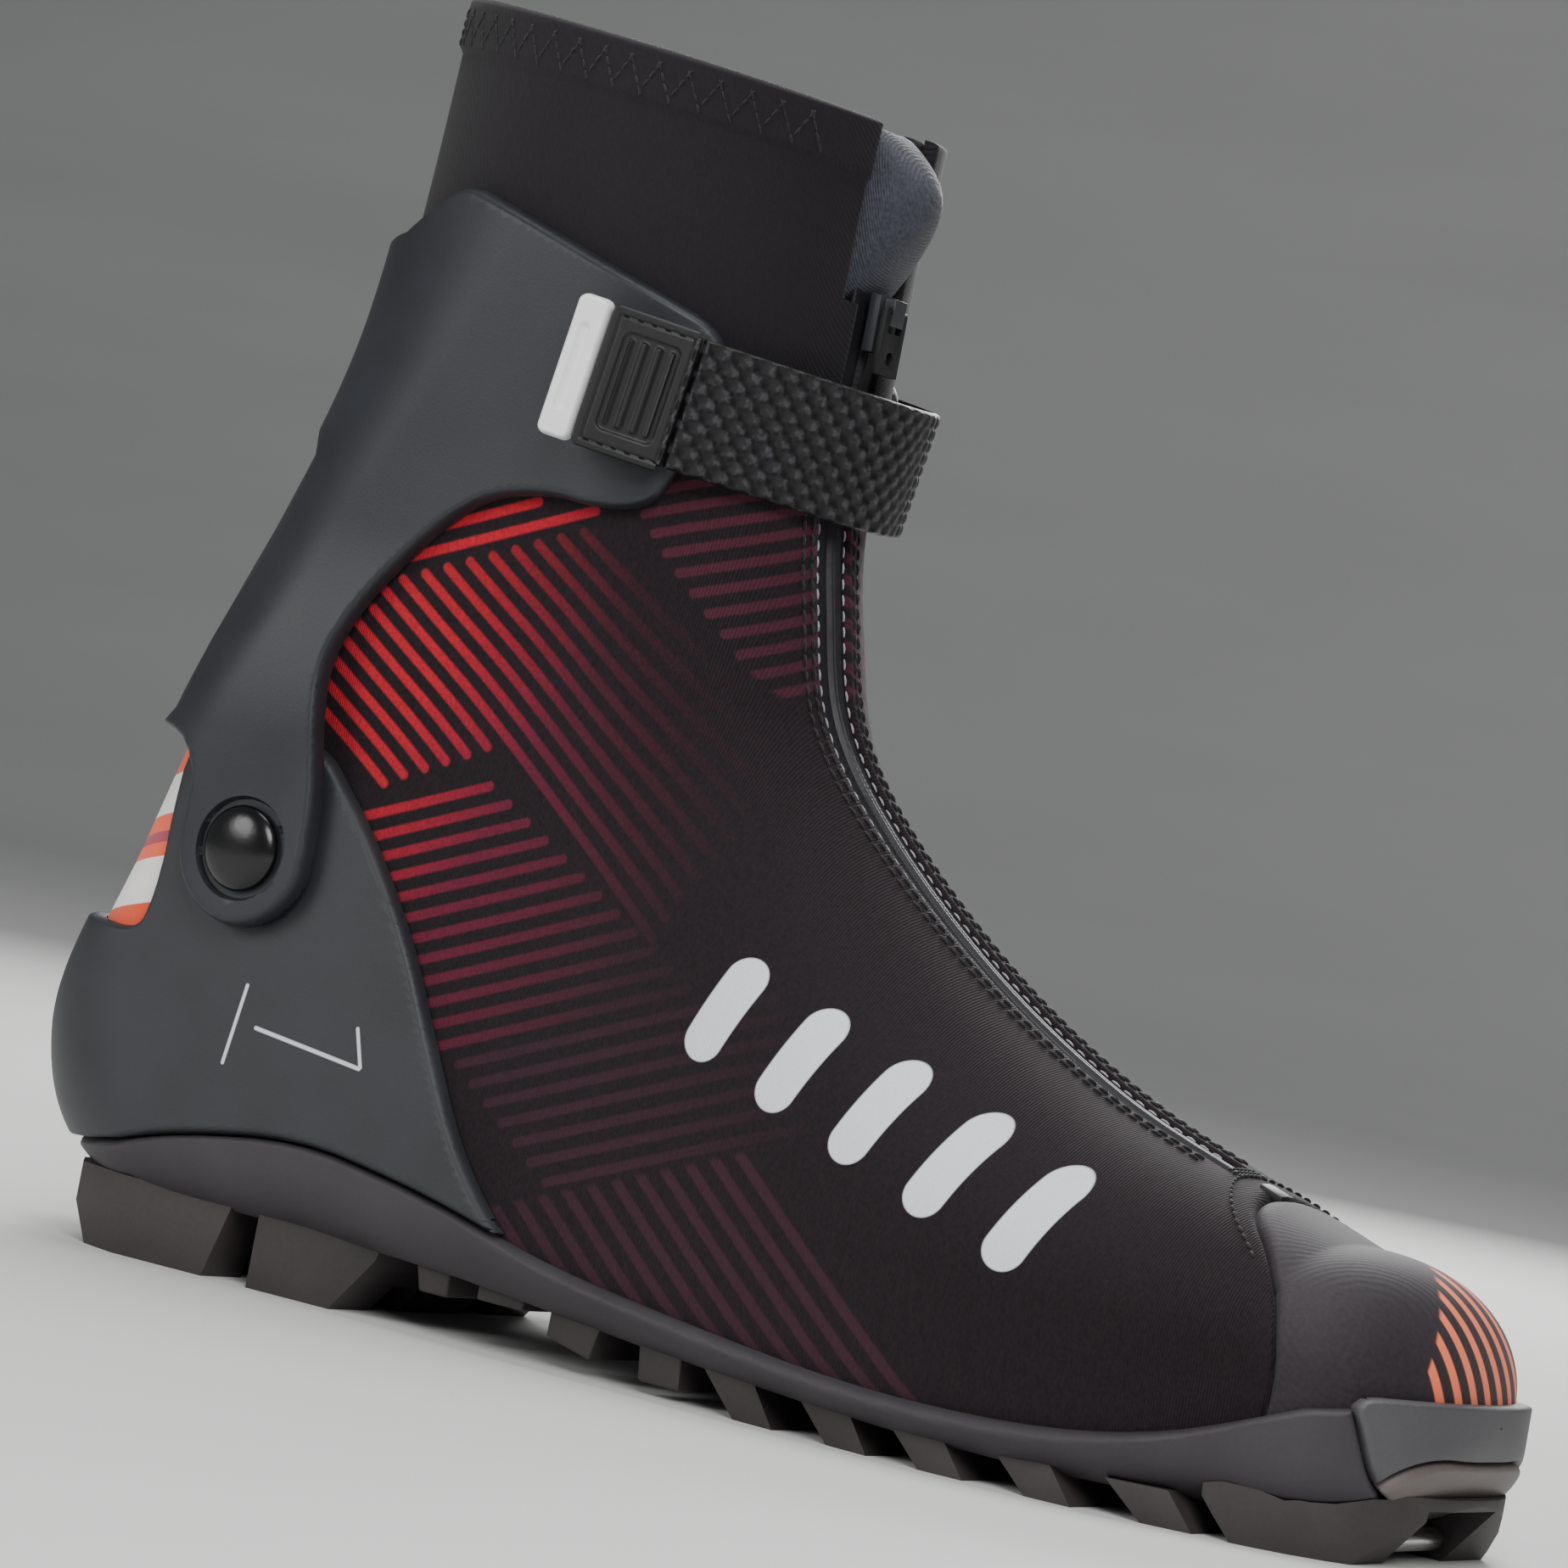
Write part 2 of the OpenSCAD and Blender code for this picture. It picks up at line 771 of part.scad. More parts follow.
module ankle_gusset() {
    color("#35202e")
        placed()
            one_skin()
                intersection() {
                    shell(liner_in, 0, 2, top_v);
                    bend_side();
                }
}

// ---- Cuff ----
// Side outline of the cuff, from the arm's front round to its back
arm_end = [for (a = [-10:-20:-170]) pivot + arm_r*[cos(a), sin(a)]];
cuff_outline = concat(
    line([[-40, 93], [30, 93], [38, 90]]),
    [for (i = [len(arm_end) - 1:-1:0]) arm_end[i]],
    line([[64, 86], [61.5, 98], [60, 110], [64, 121], [74, 134], [84, 142.5], [96, 145],
        [107, 144], [114, 145.5], [117, 149.5], [122, 171], [120.5, 177], [114, 181], [77, 194],
        [70, 195.5], [63, 191], [52, 184.5], [-40, 184.5]]));
// The rear of the cuff below the ledge is not raised
ledge = line([[-40, 154], [30, 153], [44, 148], [48, 140], [42, 128], [34, 112], [31, 90],
    [-40, 80]]);
// Distance that the cuff's sides stand out, over the counter at the bottom
arm_top_z = zed(95);
blend_top_z = zed(135);
side_push = land(0) + washer_t + 0.2 - cuff_gap + 0.15;
function ease(t) = let (c = min(1, max(0, t))) c*c*(3 - 2*c);
function push(z) = side_push*(1 - ease((z - arm_top_z)/(blend_top_z - arm_top_z)));
function pushed(r) = [for (p = r) let (k = min(1, abs(p[1])/(20*gw)))
    [p[0], p[1] + sign(p[1])*k*push(p[2]), p[2]]];
module cuff_body(by, v0, v1) {
    skin([for (v = [v0:station_step:v1]) pushed(ring(grown(station(v), by), 0, 6))]);
}
module cuff_layer(inside, outside) {
    difference() {
        cuff_body(outside, 5.5, top_v);
        cuff_body(inside, 5, top_v);
    }
}
cuff_outside = cuff_gap + cuff_t + cuff_raise;
front_open_w = 34;
module cuff() {
    color("#3d4046")
        placed()
            difference() {
                union() {
                    one_skin()
                        difference() {
                            union() {
                                intersection() {
                                    cuff_layer(cuff_gap, cuff_gap + cuff_t);
                                    side_prism(cuff_outline);
                                }
                                intersection() {
                                    cuff_layer(cuff_gap + cuff_t - 0.2, cuff_outside);
                                    difference() {
                                        side_prism(cuff_outline);
                                        side_prism(ledge);
                                    }
                                }
                            }
                            for (s = sides) {
                                at_pivot(s[0], 0, arm_inside(s[1]), arm_side_r);
                                at_pivot(s[0], arm_outside(s[1]), 90, rivet_head_r + 1.5);
                            }
                            front_gap();
                        }
                }
                for (s = sides)
                    at_pivot(s[0], 0, 90, rivet_r + run_fit);
                strap_rivet_place(rivet_hole_r);
            }
}
arm_side_r = arm_r + 6;
// The cuff stays open at the front, between its two wings
module front_gap() {
    translate([60*gx, -front_open_w/2, 0])
        cube([far, front_open_w, far]);
}

// ---- Collar ----
module collar_layer(inside, outside, drop = 0) {
    intersection() {
        shell(inside, outside, 6);
        below(shifted(collar_edge, -drop));
        shaft_side();
    }
}
opening_from_v = 9.3;
module collar_opening(by = 0) {
    front_band(18 + by, opening_from_v, top_v + 0.9);
}
module collar_sleeve() {
    color("#16131a")
        placed()
            one_skin()
                difference() {
                    collar_layer(-fabric_t, 0);
                    front_band(zip_slot_w, 5, opening_from_v + 0.1);
                    collar_opening();
                }
}
hem_h = 12;
hem_t = 1.1;
module collar_hem() {
    color("#0f0d12")
        placed()
            one_skin()
                difference() {
                    collar_layer(liner_out - hem_t, liner_out);
                    below(shifted(collar_edge, -hem_h));
                    collar_opening(4);
                }
}
module collar_foam() {
    color("#2e2c34")
        placed()
            one_skin()
                difference() {
                    collar_layer(liner_in, liner_out, hem_h + fit);
                    front_band(throat_w, 5, top_v + 0.9);
                }
}
// The padded top of the tongue swells out through the collar's opening
pad_bulge = 8;
pad_from_v = 9.4;
module pad_swell() {
    steps = 4;
    turns = 7;
    wide = 18 - 2*open_fit;
    floor_off = liner_out - hem_t - 2*fit;
    skin([for (i = [0:turns]) let (
        v = pad_from_v + (top_v - 0.1 - pad_from_v)*i/turns,
        out = (pad_bulge - floor_off)*pow(max(0.05, sin(180*i/turns)), 0.6))
        concat(
            [for (j = [steps:-1:-steps]) front_point(v, wide/2*j/steps,
                floor_off + 0.5 + out*sqrt(1 - pow(j/(steps + 0.5), 2)))],
            [for (j = [-steps:steps]) front_point(v, wide/2*j/steps, floor_off - 1.4)])]);
}
module tongue_pad() {
    color("#2b2f36")
        placed()
            one_skin()
                union() {
                    intersection() {
                        front_strip(throat_w - 2, tongue_in, tongue_in + tongue_t, 5, top_v);
                        shaft_side();
                    }
                    pad_swell();
                }
}
module zip_tape_upper() {
    color("#151516")
        placed()
            one_skin()
                intersection() {
                    zip_tape(5.5, 9.1);
                    shaft_side();
                }
}
module zip_teeth_upper() {
    color("#6d6d70")
        placed()
            one_skin()
                intersection() {
                    zip_teeth(5.5, 9.1);
                    shaft_side();
                }
}

// ---- Zip slider ----
slider_at = [station(9)[0] + 0.5, zed(185)];
slider_w = 8;
slider_deep = 2;
module zip_slider() {
    color("#707478")
        placed()
            translate([slider_at[0], 0, slider_at[1]])
                difference() {
                    union() {
                        translate([0, -slider_w/2, -slider_len/2])
                            cube([slider_deep, slider_w, slider_len]);
                        translate([slider_deep - eps, -slider_w/4, slider_len/2 - 5])
                            cube([2, slider_w/2, 4.6]);
                    }
                    translate([slider_deep + 1, 0, slider_len/2 - 2.6])
                        rotate([90, 0, 0])
                            cylinder(h = 20, r = 0.65, center = true, $fn = 24);
                }
}
puller_len = 11;
module zip_puller() {
    color("#26282b")
        placed()
            translate([slider_at[0] + slider_deep + 1, 0, slider_at[1] + slider_len/2 - 2.6])
                union() {
                    rotate([90, 0, 0])
                        cylinder(h = slider_w - 1, r = 0.6, center = true, $fn = 24);
                    for (side = [-1, 1])
                        translate([-0.6, side*(slider_w/2 - 1) - 0.7, -4])
                            cube([1.2, 1.4, 4]);
                    difference() {
                        translate([-0.6, -slider_w/2 + 0.3, -puller_len])
                            cube([1.2, slider_w - 0.6, puller_len - 3.6]);
                        translate([0, 0, -puller_len + 3])
                            rotate([0, 90, 0])
                                cylinder(h = 6, r = 1.2, center = true, $fn = 24);
                    }
                }
}

// ---- Strap ----
// Its centre line, seen square to its slope: from the inner wing round the front
strap_mid = at(110, 165.5);
anchor_line = [for (p = [[86, 44], [91, 44.2], [96.6, 44]]) [p[0]*gx, p[1]*gw]];
strap_line = [for (p = [[97.2, 44], [104, 43.6], [113, 41.4], [124, 35.5], [133.4, 25], [139.2, 13],
    [141.2, 3], [139.8, -6], [134.5, -16.5], [128, -26.8], [121, -36.6]]) [p[0]*gx, p[1]*gw]];
tail_line = [for (p = [[120.6, -37.4], [115, -40.8], [110, -43.1], [106.6, -44.3]])
    [p[0]*gx, p[1]*gw]];
module on_strap() {
    placed()
        translate([strap_mid[0], 0, strap_mid[1]])
            rotate([0, strap_slope, 0])
                translate([-strap_mid[0], 0, 0])
                    children();
}
function heading(path, i) = unit(path[min(i + 1, len(path) - 1)] - path[max(i - 1, 0)]);
function beside(path, by) = [for (i = [0:len(path) - 1]) let (t = heading(path, i))
    path[i] + by*[-t[1], t[0]]];
module ribbon(path, inside, outside, wide) {
    linear_extrude(wide, center = true)
        polygon(concat(beside(path, inside),
            let (o = beside(path, outside)) [for (i = [len(o) - 1:-1:0]) o[i]]));
}
module strap_webbing() {
    color("#1b1b1e")
        on_strap()
            ribbon(strap_line, -strap_t/2, strap_t/2, strap_w);
}
// The fixed end of the strap, riveted to the cuff's inner wing
module strap_anchor() {
    color("#1b1b1e")
        on_strap()
            difference() {
                ribbon(anchor_line, -strap_t/2, strap_t/2, strap_w);
                translate([strap_rivet_x, 0, 0])
                    rotate([-90, 0, 0])
                        cylinder(h = 90, r = rivet_hole_r, $fn = 32);
            }
}
strap_rivet_x = 91*gx;
rivet_hole_r = 2.1;
module strap_rivet_place(r) {
    translate([strap_mid[0], 0, strap_mid[1]])
        rotate([0, strap_slope, 0])
            translate([strap_rivet_x - strap_mid[0], 0, 0])
                rotate([-90, 0, 0])
                    cylinder(h = 90, r = r, $fn = 32);
}
plate_t = 1.2;
plate_y = anchor_line[1][1] + strap_t/2 + 0.1 + plate_t/2;
module strap_anchor_plate() {
    color("#1d1e20")
        on_strap()
            translate([strap_rivet_x, plate_y, 0])
                difference() {
                    cube([8, plate_t, strap_w - 4], center = true);
                    rotate([90, 0, 0])
                        cylinder(h = 10, r = rivet_hole_r, center = true, $fn = 32);
                }
}
module strap_rivet() {
    color("#0c0c0d")
        on_strap()
            translate([strap_rivet_x, 0, 0])
                rotate([-90, 0, 0]) {
                    translate([0, 0, plate_y - 6])
                        cylinder(h = 7, r = rivet_hole_r - 0.1, $fn = 32);
                    translate([0, 0, plate_y + plate_t/2 + 0.1])
                        cylinder(h = 1.4, r1 = 3.8, r2 = 2.8, $fn = 32);
                }
}
module strap_tail() {
    color("#1b1b1e")
        on_strap()
            ribbon(tail_line, -strap_t/2, strap_t/2, strap_w);
}
module tail_grip_patch() {
    path = [tail_line[0] + 0.12*(tail_line[1] - tail_line[0]), tail_line[1], tail_line[2],
        tail_line[3]];
    color("#121214")
        on_strap() {
            ribbon(path, strap_t/2 + 0.05, strap_t/2 + 1.25, strap_w + 2);
            for (k = [0:3]) {
                p = path[1] + (path[2] - path[1])*(k*0.36 - 0.1);
                q = p + 0.16*(path[2] - path[1]);
                ribbon([p, q], strap_t/2 + 0.9, strap_t/2 + 2, strap_w - 8);
            }
        }
}
module tail_tip() {
    from = tail_line[3];
    way = unit(tail_line[3] - tail_line[2]);
    path = [from + 0.3*way, from + (0.3 + tip_len)*way];
    color("#e9e9e9")
        on_strap()
            difference() {
                ribbon(path, -strap_t/2, strap_t/2 + 1.6, strap_w + 2);
                ribbon([path[0] + 2*way, path[1] - 2*way], strap_t/2 + 1, 10, strap_w - 7);
            }
}
module tail_hook_pad() {
    path = [tail_line[0] + 0.3*(tail_line[1] - tail_line[0]), tail_line[1], tail_line[2],
        tail_line[3]];
    color("#303034")
        on_strap()
            ribbon(path, -strap_t/2 - 0.75, -strap_t/2 - 0.05, strap_w - 3);
}
module hook_pad() {
    color("#242428")
        on_strap()
            ribbon(tail_line, -strap_t/2 - 3.3, -strap_t/2 - 1.05, strap_w);
}

sole_plate();
sole_rand();
heel_tread();
arch_ribs();
forefoot_tread();
toe_block();
toe_bumper();
toe_bar();
shank();
heel_counter();
pivot_rivets();
pivot_washers();
vamp();
heel_panel();
toe_panel();
toe_puff();
lasting_board();
foot_liner();
insole();
tongue();
lace();
lace_loops();
zip_tape_lower();
zip_teeth_lower();
zip_end_stop();
ankle_gusset();
cuff();
collar_sleeve();
collar_hem();
collar_foam();
tongue_pad();
zip_tape_upper();
zip_teeth_upper();
hook_pad();
strap_anchor();
strap_anchor_plate();
strap_rivet();
zip_slider();
zip_puller();
strap_webbing();
strap_tail();
tail_grip_patch();
tail_tip();
tail_hook_pad();
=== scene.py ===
# %% [markdown]
# # A skate ski boot, piece by piece
# A boot like this is a printed fabric upper on a moulded sole, with a stiff heel counter and a
# hinged ankle cuff closed by one wide strap. The CAD model fixes every size and every joint, so
# this script only gives the pieces their real surfaces. All sizes below are in millimetres as
# drawn with the heel near X = 0, and are turned to metres when a mesh is made.

# %% Load the frame
import bpy, math
import numpy as np
from mathutils import Matrix, Vector


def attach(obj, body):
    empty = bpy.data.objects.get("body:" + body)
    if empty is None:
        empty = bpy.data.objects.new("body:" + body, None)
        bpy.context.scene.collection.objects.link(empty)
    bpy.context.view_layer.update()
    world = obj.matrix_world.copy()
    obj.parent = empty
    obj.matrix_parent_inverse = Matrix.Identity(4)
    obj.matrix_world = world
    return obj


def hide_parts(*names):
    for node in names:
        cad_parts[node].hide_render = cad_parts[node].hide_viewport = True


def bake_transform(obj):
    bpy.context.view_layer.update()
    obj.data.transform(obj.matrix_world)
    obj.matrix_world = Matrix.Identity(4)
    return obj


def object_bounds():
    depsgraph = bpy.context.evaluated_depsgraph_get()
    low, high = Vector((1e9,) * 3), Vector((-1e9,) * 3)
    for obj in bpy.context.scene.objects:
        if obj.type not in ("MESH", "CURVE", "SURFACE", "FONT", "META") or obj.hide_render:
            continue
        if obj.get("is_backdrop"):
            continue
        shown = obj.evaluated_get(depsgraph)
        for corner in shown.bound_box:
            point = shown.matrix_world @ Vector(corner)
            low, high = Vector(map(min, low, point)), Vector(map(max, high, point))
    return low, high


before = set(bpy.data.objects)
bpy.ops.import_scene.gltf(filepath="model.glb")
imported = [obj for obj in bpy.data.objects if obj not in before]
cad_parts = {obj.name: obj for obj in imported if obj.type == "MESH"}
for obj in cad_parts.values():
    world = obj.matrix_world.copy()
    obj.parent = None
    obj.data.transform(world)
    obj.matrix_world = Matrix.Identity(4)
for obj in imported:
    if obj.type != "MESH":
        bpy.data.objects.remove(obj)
lo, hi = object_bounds()
cad_box = [list(lo), list(hi)]
MID = 142.7  # drawn X of the frame's origin
print("CAD box in mm:", [round(1000 * (b - a), 1) for a, b in zip(lo, hi)])

# %% [markdown]
# ## Camera
# The boot is seen from its outer side, a little from the front, with a long lens so that it is
# not distorted. The camera is rolled, which tips the boot towards its toe. Its three directions
# are worked out as vectors, because a roll is hard to read from three angles.

# %% Camera
turn, roll = math.radians(30), math.radians(11)
DISTANCE = 1.05  # metres
back = Vector((math.sin(turn), -math.cos(turn), 0))
right = Vector((math.cos(turn), math.sin(turn), 0))
up = Vector((0, 0, 1))
cam_x = right * math.cos(roll) + up * math.sin(roll)
cam_y = up * math.cos(roll) - right * math.sin(roll)
target = Vector((-0.010, 0, 0.104))
camera = bpy.data.objects.new("camera", bpy.data.cameras.new("camera"))
bpy.context.scene.collection.objects.link(camera)
camera.data.lens = 139.3
camera.data.sensor_width = 36
camera.matrix_world = Matrix.Translation(target + back * DISTANCE) @ Matrix(
    (cam_x, cam_y, back)).transposed().to_4x4()
bpy.context.scene.camera = camera
print("camera at", [round(c, 3) for c in camera.matrix_world.translation])

# %% [markdown]
# ## Lamps
# Large area lamps make soft highlights: one above the toe, one from the side and a rim lamp from
# behind, so that black fabric still shows its shape. A sun lamp would be simpler, but its hard
# edge would draw lines on the smooth plastic.

# %% Lamps
def lamp(name, place, aim, size, power):
    """A round area lamp of this width in metres and power in watts, turned towards a point"""
    light = bpy.data.lights.new(name, "AREA")
    light.shape, light.size, light.energy = "DISK", size, power
    obj = bpy.data.objects.new(name, light)
    bpy.context.scene.collection.objects.link(obj)
    obj.location = place
    obj.rotation_euler = (Vector(aim) - Vector(place)).to_track_quat("-Z", "Y").to_euler()

lamp("soft_box_front", (0.55, -0.75, 0.75), (0, 0, 0.1), 0.6, 9)
lamp("soft_box_side", (-0.55, -0.85, 0.45), (0, 0, 0.1), 0.5, 4)
lamp("soft_box_top", (0.0, 0.1, 1.0), (0, 0, 0.1), 0.6, 6.5)
lamp("soft_box_rim", (-0.3, 0.8, 0.5), (0, 0, 0.12), 0.5, 7)

# %% [markdown]
# ## How a material is written
# Each material is named for what the real surface is. Its colours are sRGB hex values, which one
# function turns to the linear values that the shader works in. One small function adds a node
# with its settings and links, so a pattern reads from top to bottom.

# %% Colours and nodes
def paint(code):
    """sRGB hex to the linear red, green, blue and alpha that a shader takes"""
    rgb = [int(code[i:i + 2], 16) / 255 for i in (1, 3, 5)]
    return tuple(c / 12.92 if c < 0.04045 else ((c + 0.055) / 1.055) ** 2.4 for c in rgb) + (1,)


def add(tree, kind, inputs={}, out=0, stops=(), **settings):
    """Add a node, set it up, link or fill its inputs; stops are a colour ramp's places and hexes"""
    node = tree.nodes.new(kind)
    for key, value in settings.items():
        setattr(node, key, value)
    for k, (at, code) in enumerate(stops):
        elements = node.color_ramp.elements
        element = elements[k] if k < len(elements) else elements.new(1)
        element.position, element.color = at, paint(code)
    for key, value in inputs.items():
        if isinstance(value, bpy.types.NodeSocket):
            tree.links.new(value, node.inputs[key])
        else:
            node.inputs[key].default_value = value
    return node.outputs[out]


print("white is", paint("#ffffff"))

# %% Materials
def material(name, code, roughness, ior=1.5, metallic=0.0, **more):
    """A new material with its values that are the same all over, its tree and its shader"""
    made = bpy.data.materials.new(name)
    made.use_nodes = True
    shader = made.node_tree.nodes["Principled BSDF"]
    shader.inputs["Base Color"].default_value = paint(code)
    for key, value in {"Roughness": roughness, "IOR": ior, "Metallic": metallic, **more}.items():
        shader.inputs[key].default_value = value
    return made, made.node_tree, shader


def finish_with(tree, shader, colour=None, rough=None, height=None, depth=0.1, strength=1.0):
    """Link the patterns to the shader; depth is the relief of the height in millimetres"""
    if colour:
        tree.links.new(colour, shader.inputs["Base Color"])
    if rough:
        tree.links.new(rough, shader.inputs["Roughness"])
    if height:
        bump = add(tree, "ShaderNodeBump",
                   {"Height": height, "Distance": depth * 0.001, "Strength": strength})
        tree.links.new(bump, shader.inputs["Normal"])


def rest_place(tree, kept=False):
    """Place in millimetres that stays with the fabric when it bends; kept CAD nodes never bend"""
    if not kept:
        return add(tree, "ShaderNodeAttribute", attribute_name="rest", out=1)
    place = add(tree, "ShaderNodeTexCoord", out=3)
    return add(tree, "ShaderNodeMapping", {"Vector": place, "Scale": (1000, 1000, 1000)})


print("helpers ready")

# %% [markdown]
# ## Studio floor
# A studio floor is a roll of matt paper that lies flat under the object and curves up behind it,
# so that no horizon shows. It could be two planes, but their corner would show, so
# it is one strip of faces along a line with a quarter circle in it. Matt paper has no highlight,
# only a faint grain.

# %% Floor
# Matt wood-pulp paper scatters light evenly, so it shows as a soft pale ground
floor_paint, tree, shader = material("matt_studio_paper", "#d9d9d7", 0.9)
grain = add(tree, "ShaderNodeTexNoise", {"Scale": 60.0, "Detail": 3.0})
colour = add(tree, "ShaderNodeValToRGB", {"Fac": grain}, stops=[(0.3, "#d6d6d4"), (0.7, "#dcdcda")])
finish_with(tree, shader, colour)
NEAR, FLAT_END, CURVE, HIGH, HALF = -12.0, 1.6, 0.9, 4.0, 12  # metres
sweep = [(NEAR, 0.0), (FLAT_END, 0.0)] + [
    (FLAT_END + CURVE * math.sin(a), CURVE - CURVE * math.cos(a))
    for a in np.linspace(0.15, 1.57, 12)] + [(FLAT_END + CURVE, HIGH)]
paper = bpy.data.meshes.new("floor")
paper.from_pydata([(x, y, z) for y, z in sweep for x in (-HALF, HALF)], [],
                  [(2 * i, 2 * i + 1, 2 * i + 3, 2 * i + 2) for i in range(len(sweep) - 1)])
paper.polygons.foreach_set("use_smooth", [True] * len(paper.polygons))
floor = bpy.data.objects.new("floor", paper)
bpy.context.scene.collection.objects.link(floor)
floor.data.materials.append(floor_paint)
floor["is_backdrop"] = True
print("floor:", len(paper.polygons), "faces")

# %% World
# A weak, slightly cool light from all round fills the shadows
world = bpy.data.worlds.new("studio")
bpy.context.scene.world = world
world.use_nodes = True
world.node_tree.nodes["Background"].inputs[0].default_value = paint("#e7eaed")
world.node_tree.nodes["Background"].inputs[1].default_value = 0.24
print("world ready")

# %% [markdown]
# ## The last
# A shoemaker pulls the upper over a last, a solid shaped like the foot. Here the last is a
# stack of closed sections, each between a front point and a back point in side view, with a
# rounded front, a squarer back and its own half widths. Sections between the stations follow
# one smooth spline. Fabric, counter and cuff are all sheets laid over this surface at their
# own height, so neighbours fit each other exactly.

# %% Stations of the last
STATIONS = np.array([
    [256, 48, 257, 6.5, 36, 34, 20, 12, 3.4], [236, 54.5, 233, 4.5, 45, 43, 26, 12, 3.4],
    [209, 64, 203, 4.5, 49, 46, 34, 12, 3.4], [182.5, 78.5, 167, 6, 47, 43, 42, 13, 3.2],
    [158, 97.5, 125, 9, 42, 39, 44, 13, 3], [142.5, 115.5, 75, 11.5, 36, 36, 42, 13, 2.8],
    [136, 136, 24, 12, 33, 34, 40, 20, 2.5], [133, 152, 4.2, 32, 32, 33, 38, 31, 2.25],
    [132.5, 167, 11.8, 66, 33, 34, 38, 36, 2.15], [133, 183, 23.5, 114, 34, 35, 38, 42, 2],
    [133, 201, 39.5, 165, 36, 37, 38, 44, 2], [133.5, 219, 45.5, 231, 38, 38, 38, 42, 2]])
# Each row: front X and Z, back X and Z, outer and inner half width, length of the rounding in
# front and behind, squareness behind
TOE_TIP = np.array([281.4, 4, 24])
PER_HALF = 120  # points on each half of a ring
print("stations:", len(STATIONS))


# %% One section


def station(v):
    """The row between two stations, on a smooth spline"""
    ends = np.vstack([2 * STATIONS[0] - STATIONS[1], STATIONS,
                      2 * STATIONS[-1] - STATIONS[-2], 2 * STATIONS[-1] - STATIONS[-2]])
    k = min(int(v), len(STATIONS) - 2)
    a, b, c, d = ends[k:k + 4]
    t = v - k
    return (2 * b + (c - a) * t + (2 * a - 5 * b + 4 * c - d) * t * t
            + (3 * b - a - 3 * c + d) * t ** 3) / 2


def section(s, y0=0.0):
    """A closed ring of points: front to back on the outer side, then back to front"""
    reach = math.hypot(s[0] - s[2], s[1] - s[3])
    ux, uz = (s[0] - s[2]) / reach, (s[1] - s[3]) / reach
    k = min(1, 0.96 * reach / (s[6] + s[7]))
    a = np.linspace(0, math.pi / 2, 60)
    cos, sin = np.clip(np.cos(a), 0, 1), np.sin(a)
    along = np.concatenate([reach - k * s[6] * (1 - cos ** (2 / 2.15)),
                            (k * s[7] * (1 - cos ** (2 / s[8])))[::-1]])
    wide = np.concatenate([sin ** (2 / 2.15), (sin ** (2 / s[8]))[::-1]])
    halves = []
    for half_width, side in ((s[4], -1), (s[5], 1)):
        p = np.column_stack([s[2] + ux * along, y0 + side * half_width * wide,
                             s[3] + uz * along])
        d = np.concatenate([[0], np.cumsum(np.linalg.norm(np.diff(p, axis=0), axis=1))])
        e = np.linspace(0, d[-1], PER_HALF)
        halves.append(np.column_stack([np.interp(e, d, p[:, i]) for i in range(3)] + [side * e]))
    return np.vstack([halves[0], halves[1][-2:0:-1]])


print("a ring has", len(section(station(3))), "points")

# %% The dense surface
rings, columns_v = [], []
for a in np.radians(np.linspace(0.15, 87, 44)):
    s, wide, ahead = STATIONS[0], math.sin(a) ** (2 / 2.3), math.cos(a) ** (2 / 2.3)
    mid = (s[0] + s[2]) / 2
    shift = mid + (TOE_TIP[0] - mid) * ahead
    rings.append(section(np.array([
        shift + (s[0] - mid) * wide, TOE_TIP[2] + (s[1] - TOE_TIP[2]) * wide,
        shift + (s[2] - mid) * wide, TOE_TIP[2] + (s[3] - TOE_TIP[2]) * wide,
        s[4] * wide, s[5] * wide, s[6] * wide, s[7] * wide, s[8]]), TOE_TIP[1] * ahead))
    columns_v.append(-math.cos(a))
for v in np.linspace(0, 11, 11 * 26 + 1):
    rings.append(section(station(v)))
    columns_v.append(v)
for lift in (2, 5, 9):
    s = station(11).copy()
    s[[1, 3]] += lift
    rings.append(section(s))
    columns_v.append(11 + lift / 20)
grid = np.array(rings)
ROWS, COLS = grid.shape[:2]
P = grid[..., :3]
across = np.roll(P, -1, axis=1) - np.roll(P, 1, axis=1)
normal = np.cross(np.gradient(P, axis=0), across)
normal /= np.linalg.norm(normal, axis=2, keepdims=True) + 1e-12
if (normal * (P - P.mean(axis=1, keepdims=True))).sum() < 0:
    normal = -normal
girth = np.repeat(np.array(columns_v)[:, None], COLS, 1)
front = np.abs(np.minimum(np.arange(COLS), COLS - np.arange(COLS))) / (COLS / 2)
LAST = np.concatenate([P, normal, grid[..., 3:], girth[..., None],
                       np.repeat(front[None], ROWS, 0)[..., None]], axis=2)
# Columns of the table: x y z, normal, distance round from the front, station, 0 front 1 back
X, Y, Z, ROUND, V, BACK = 0, 1, 2, 6, 7, 8
print("last:", ROWS, "rings of", COLS, "points")

# %% [markdown]
# ## Cutting a piece from the last
# Every panel is drawn as an outline in side view, as on a pattern sheet. The distance to that
# outline is known at each point of the last, so triangles are split exactly where it is zero
# and the rest is dropped. More splits just inside the edge let the height rise in a quarter
# circle, which gives moulded parts their soft rim. This is used instead of a Boolean, which
# would leave ragged edges and no control over the rim.

# %% Outlines and distances
def curved(points, closed=True, rounds=2):
    """Cut each corner of an outline twice, which rounds it"""
    p = np.array(points, float)
    for _ in range(rounds):
        q = np.roll(p, -1, axis=0) if closed else p[1:]
        b = p if closed else p[:-1]
        mixed = np.stack([0.75 * b + 0.25 * q, 0.25 * b + 0.75 * q], 1).reshape(-1, 2)
        p = mixed if closed else np.vstack([p[:1], mixed, p[-1:]])
    return p


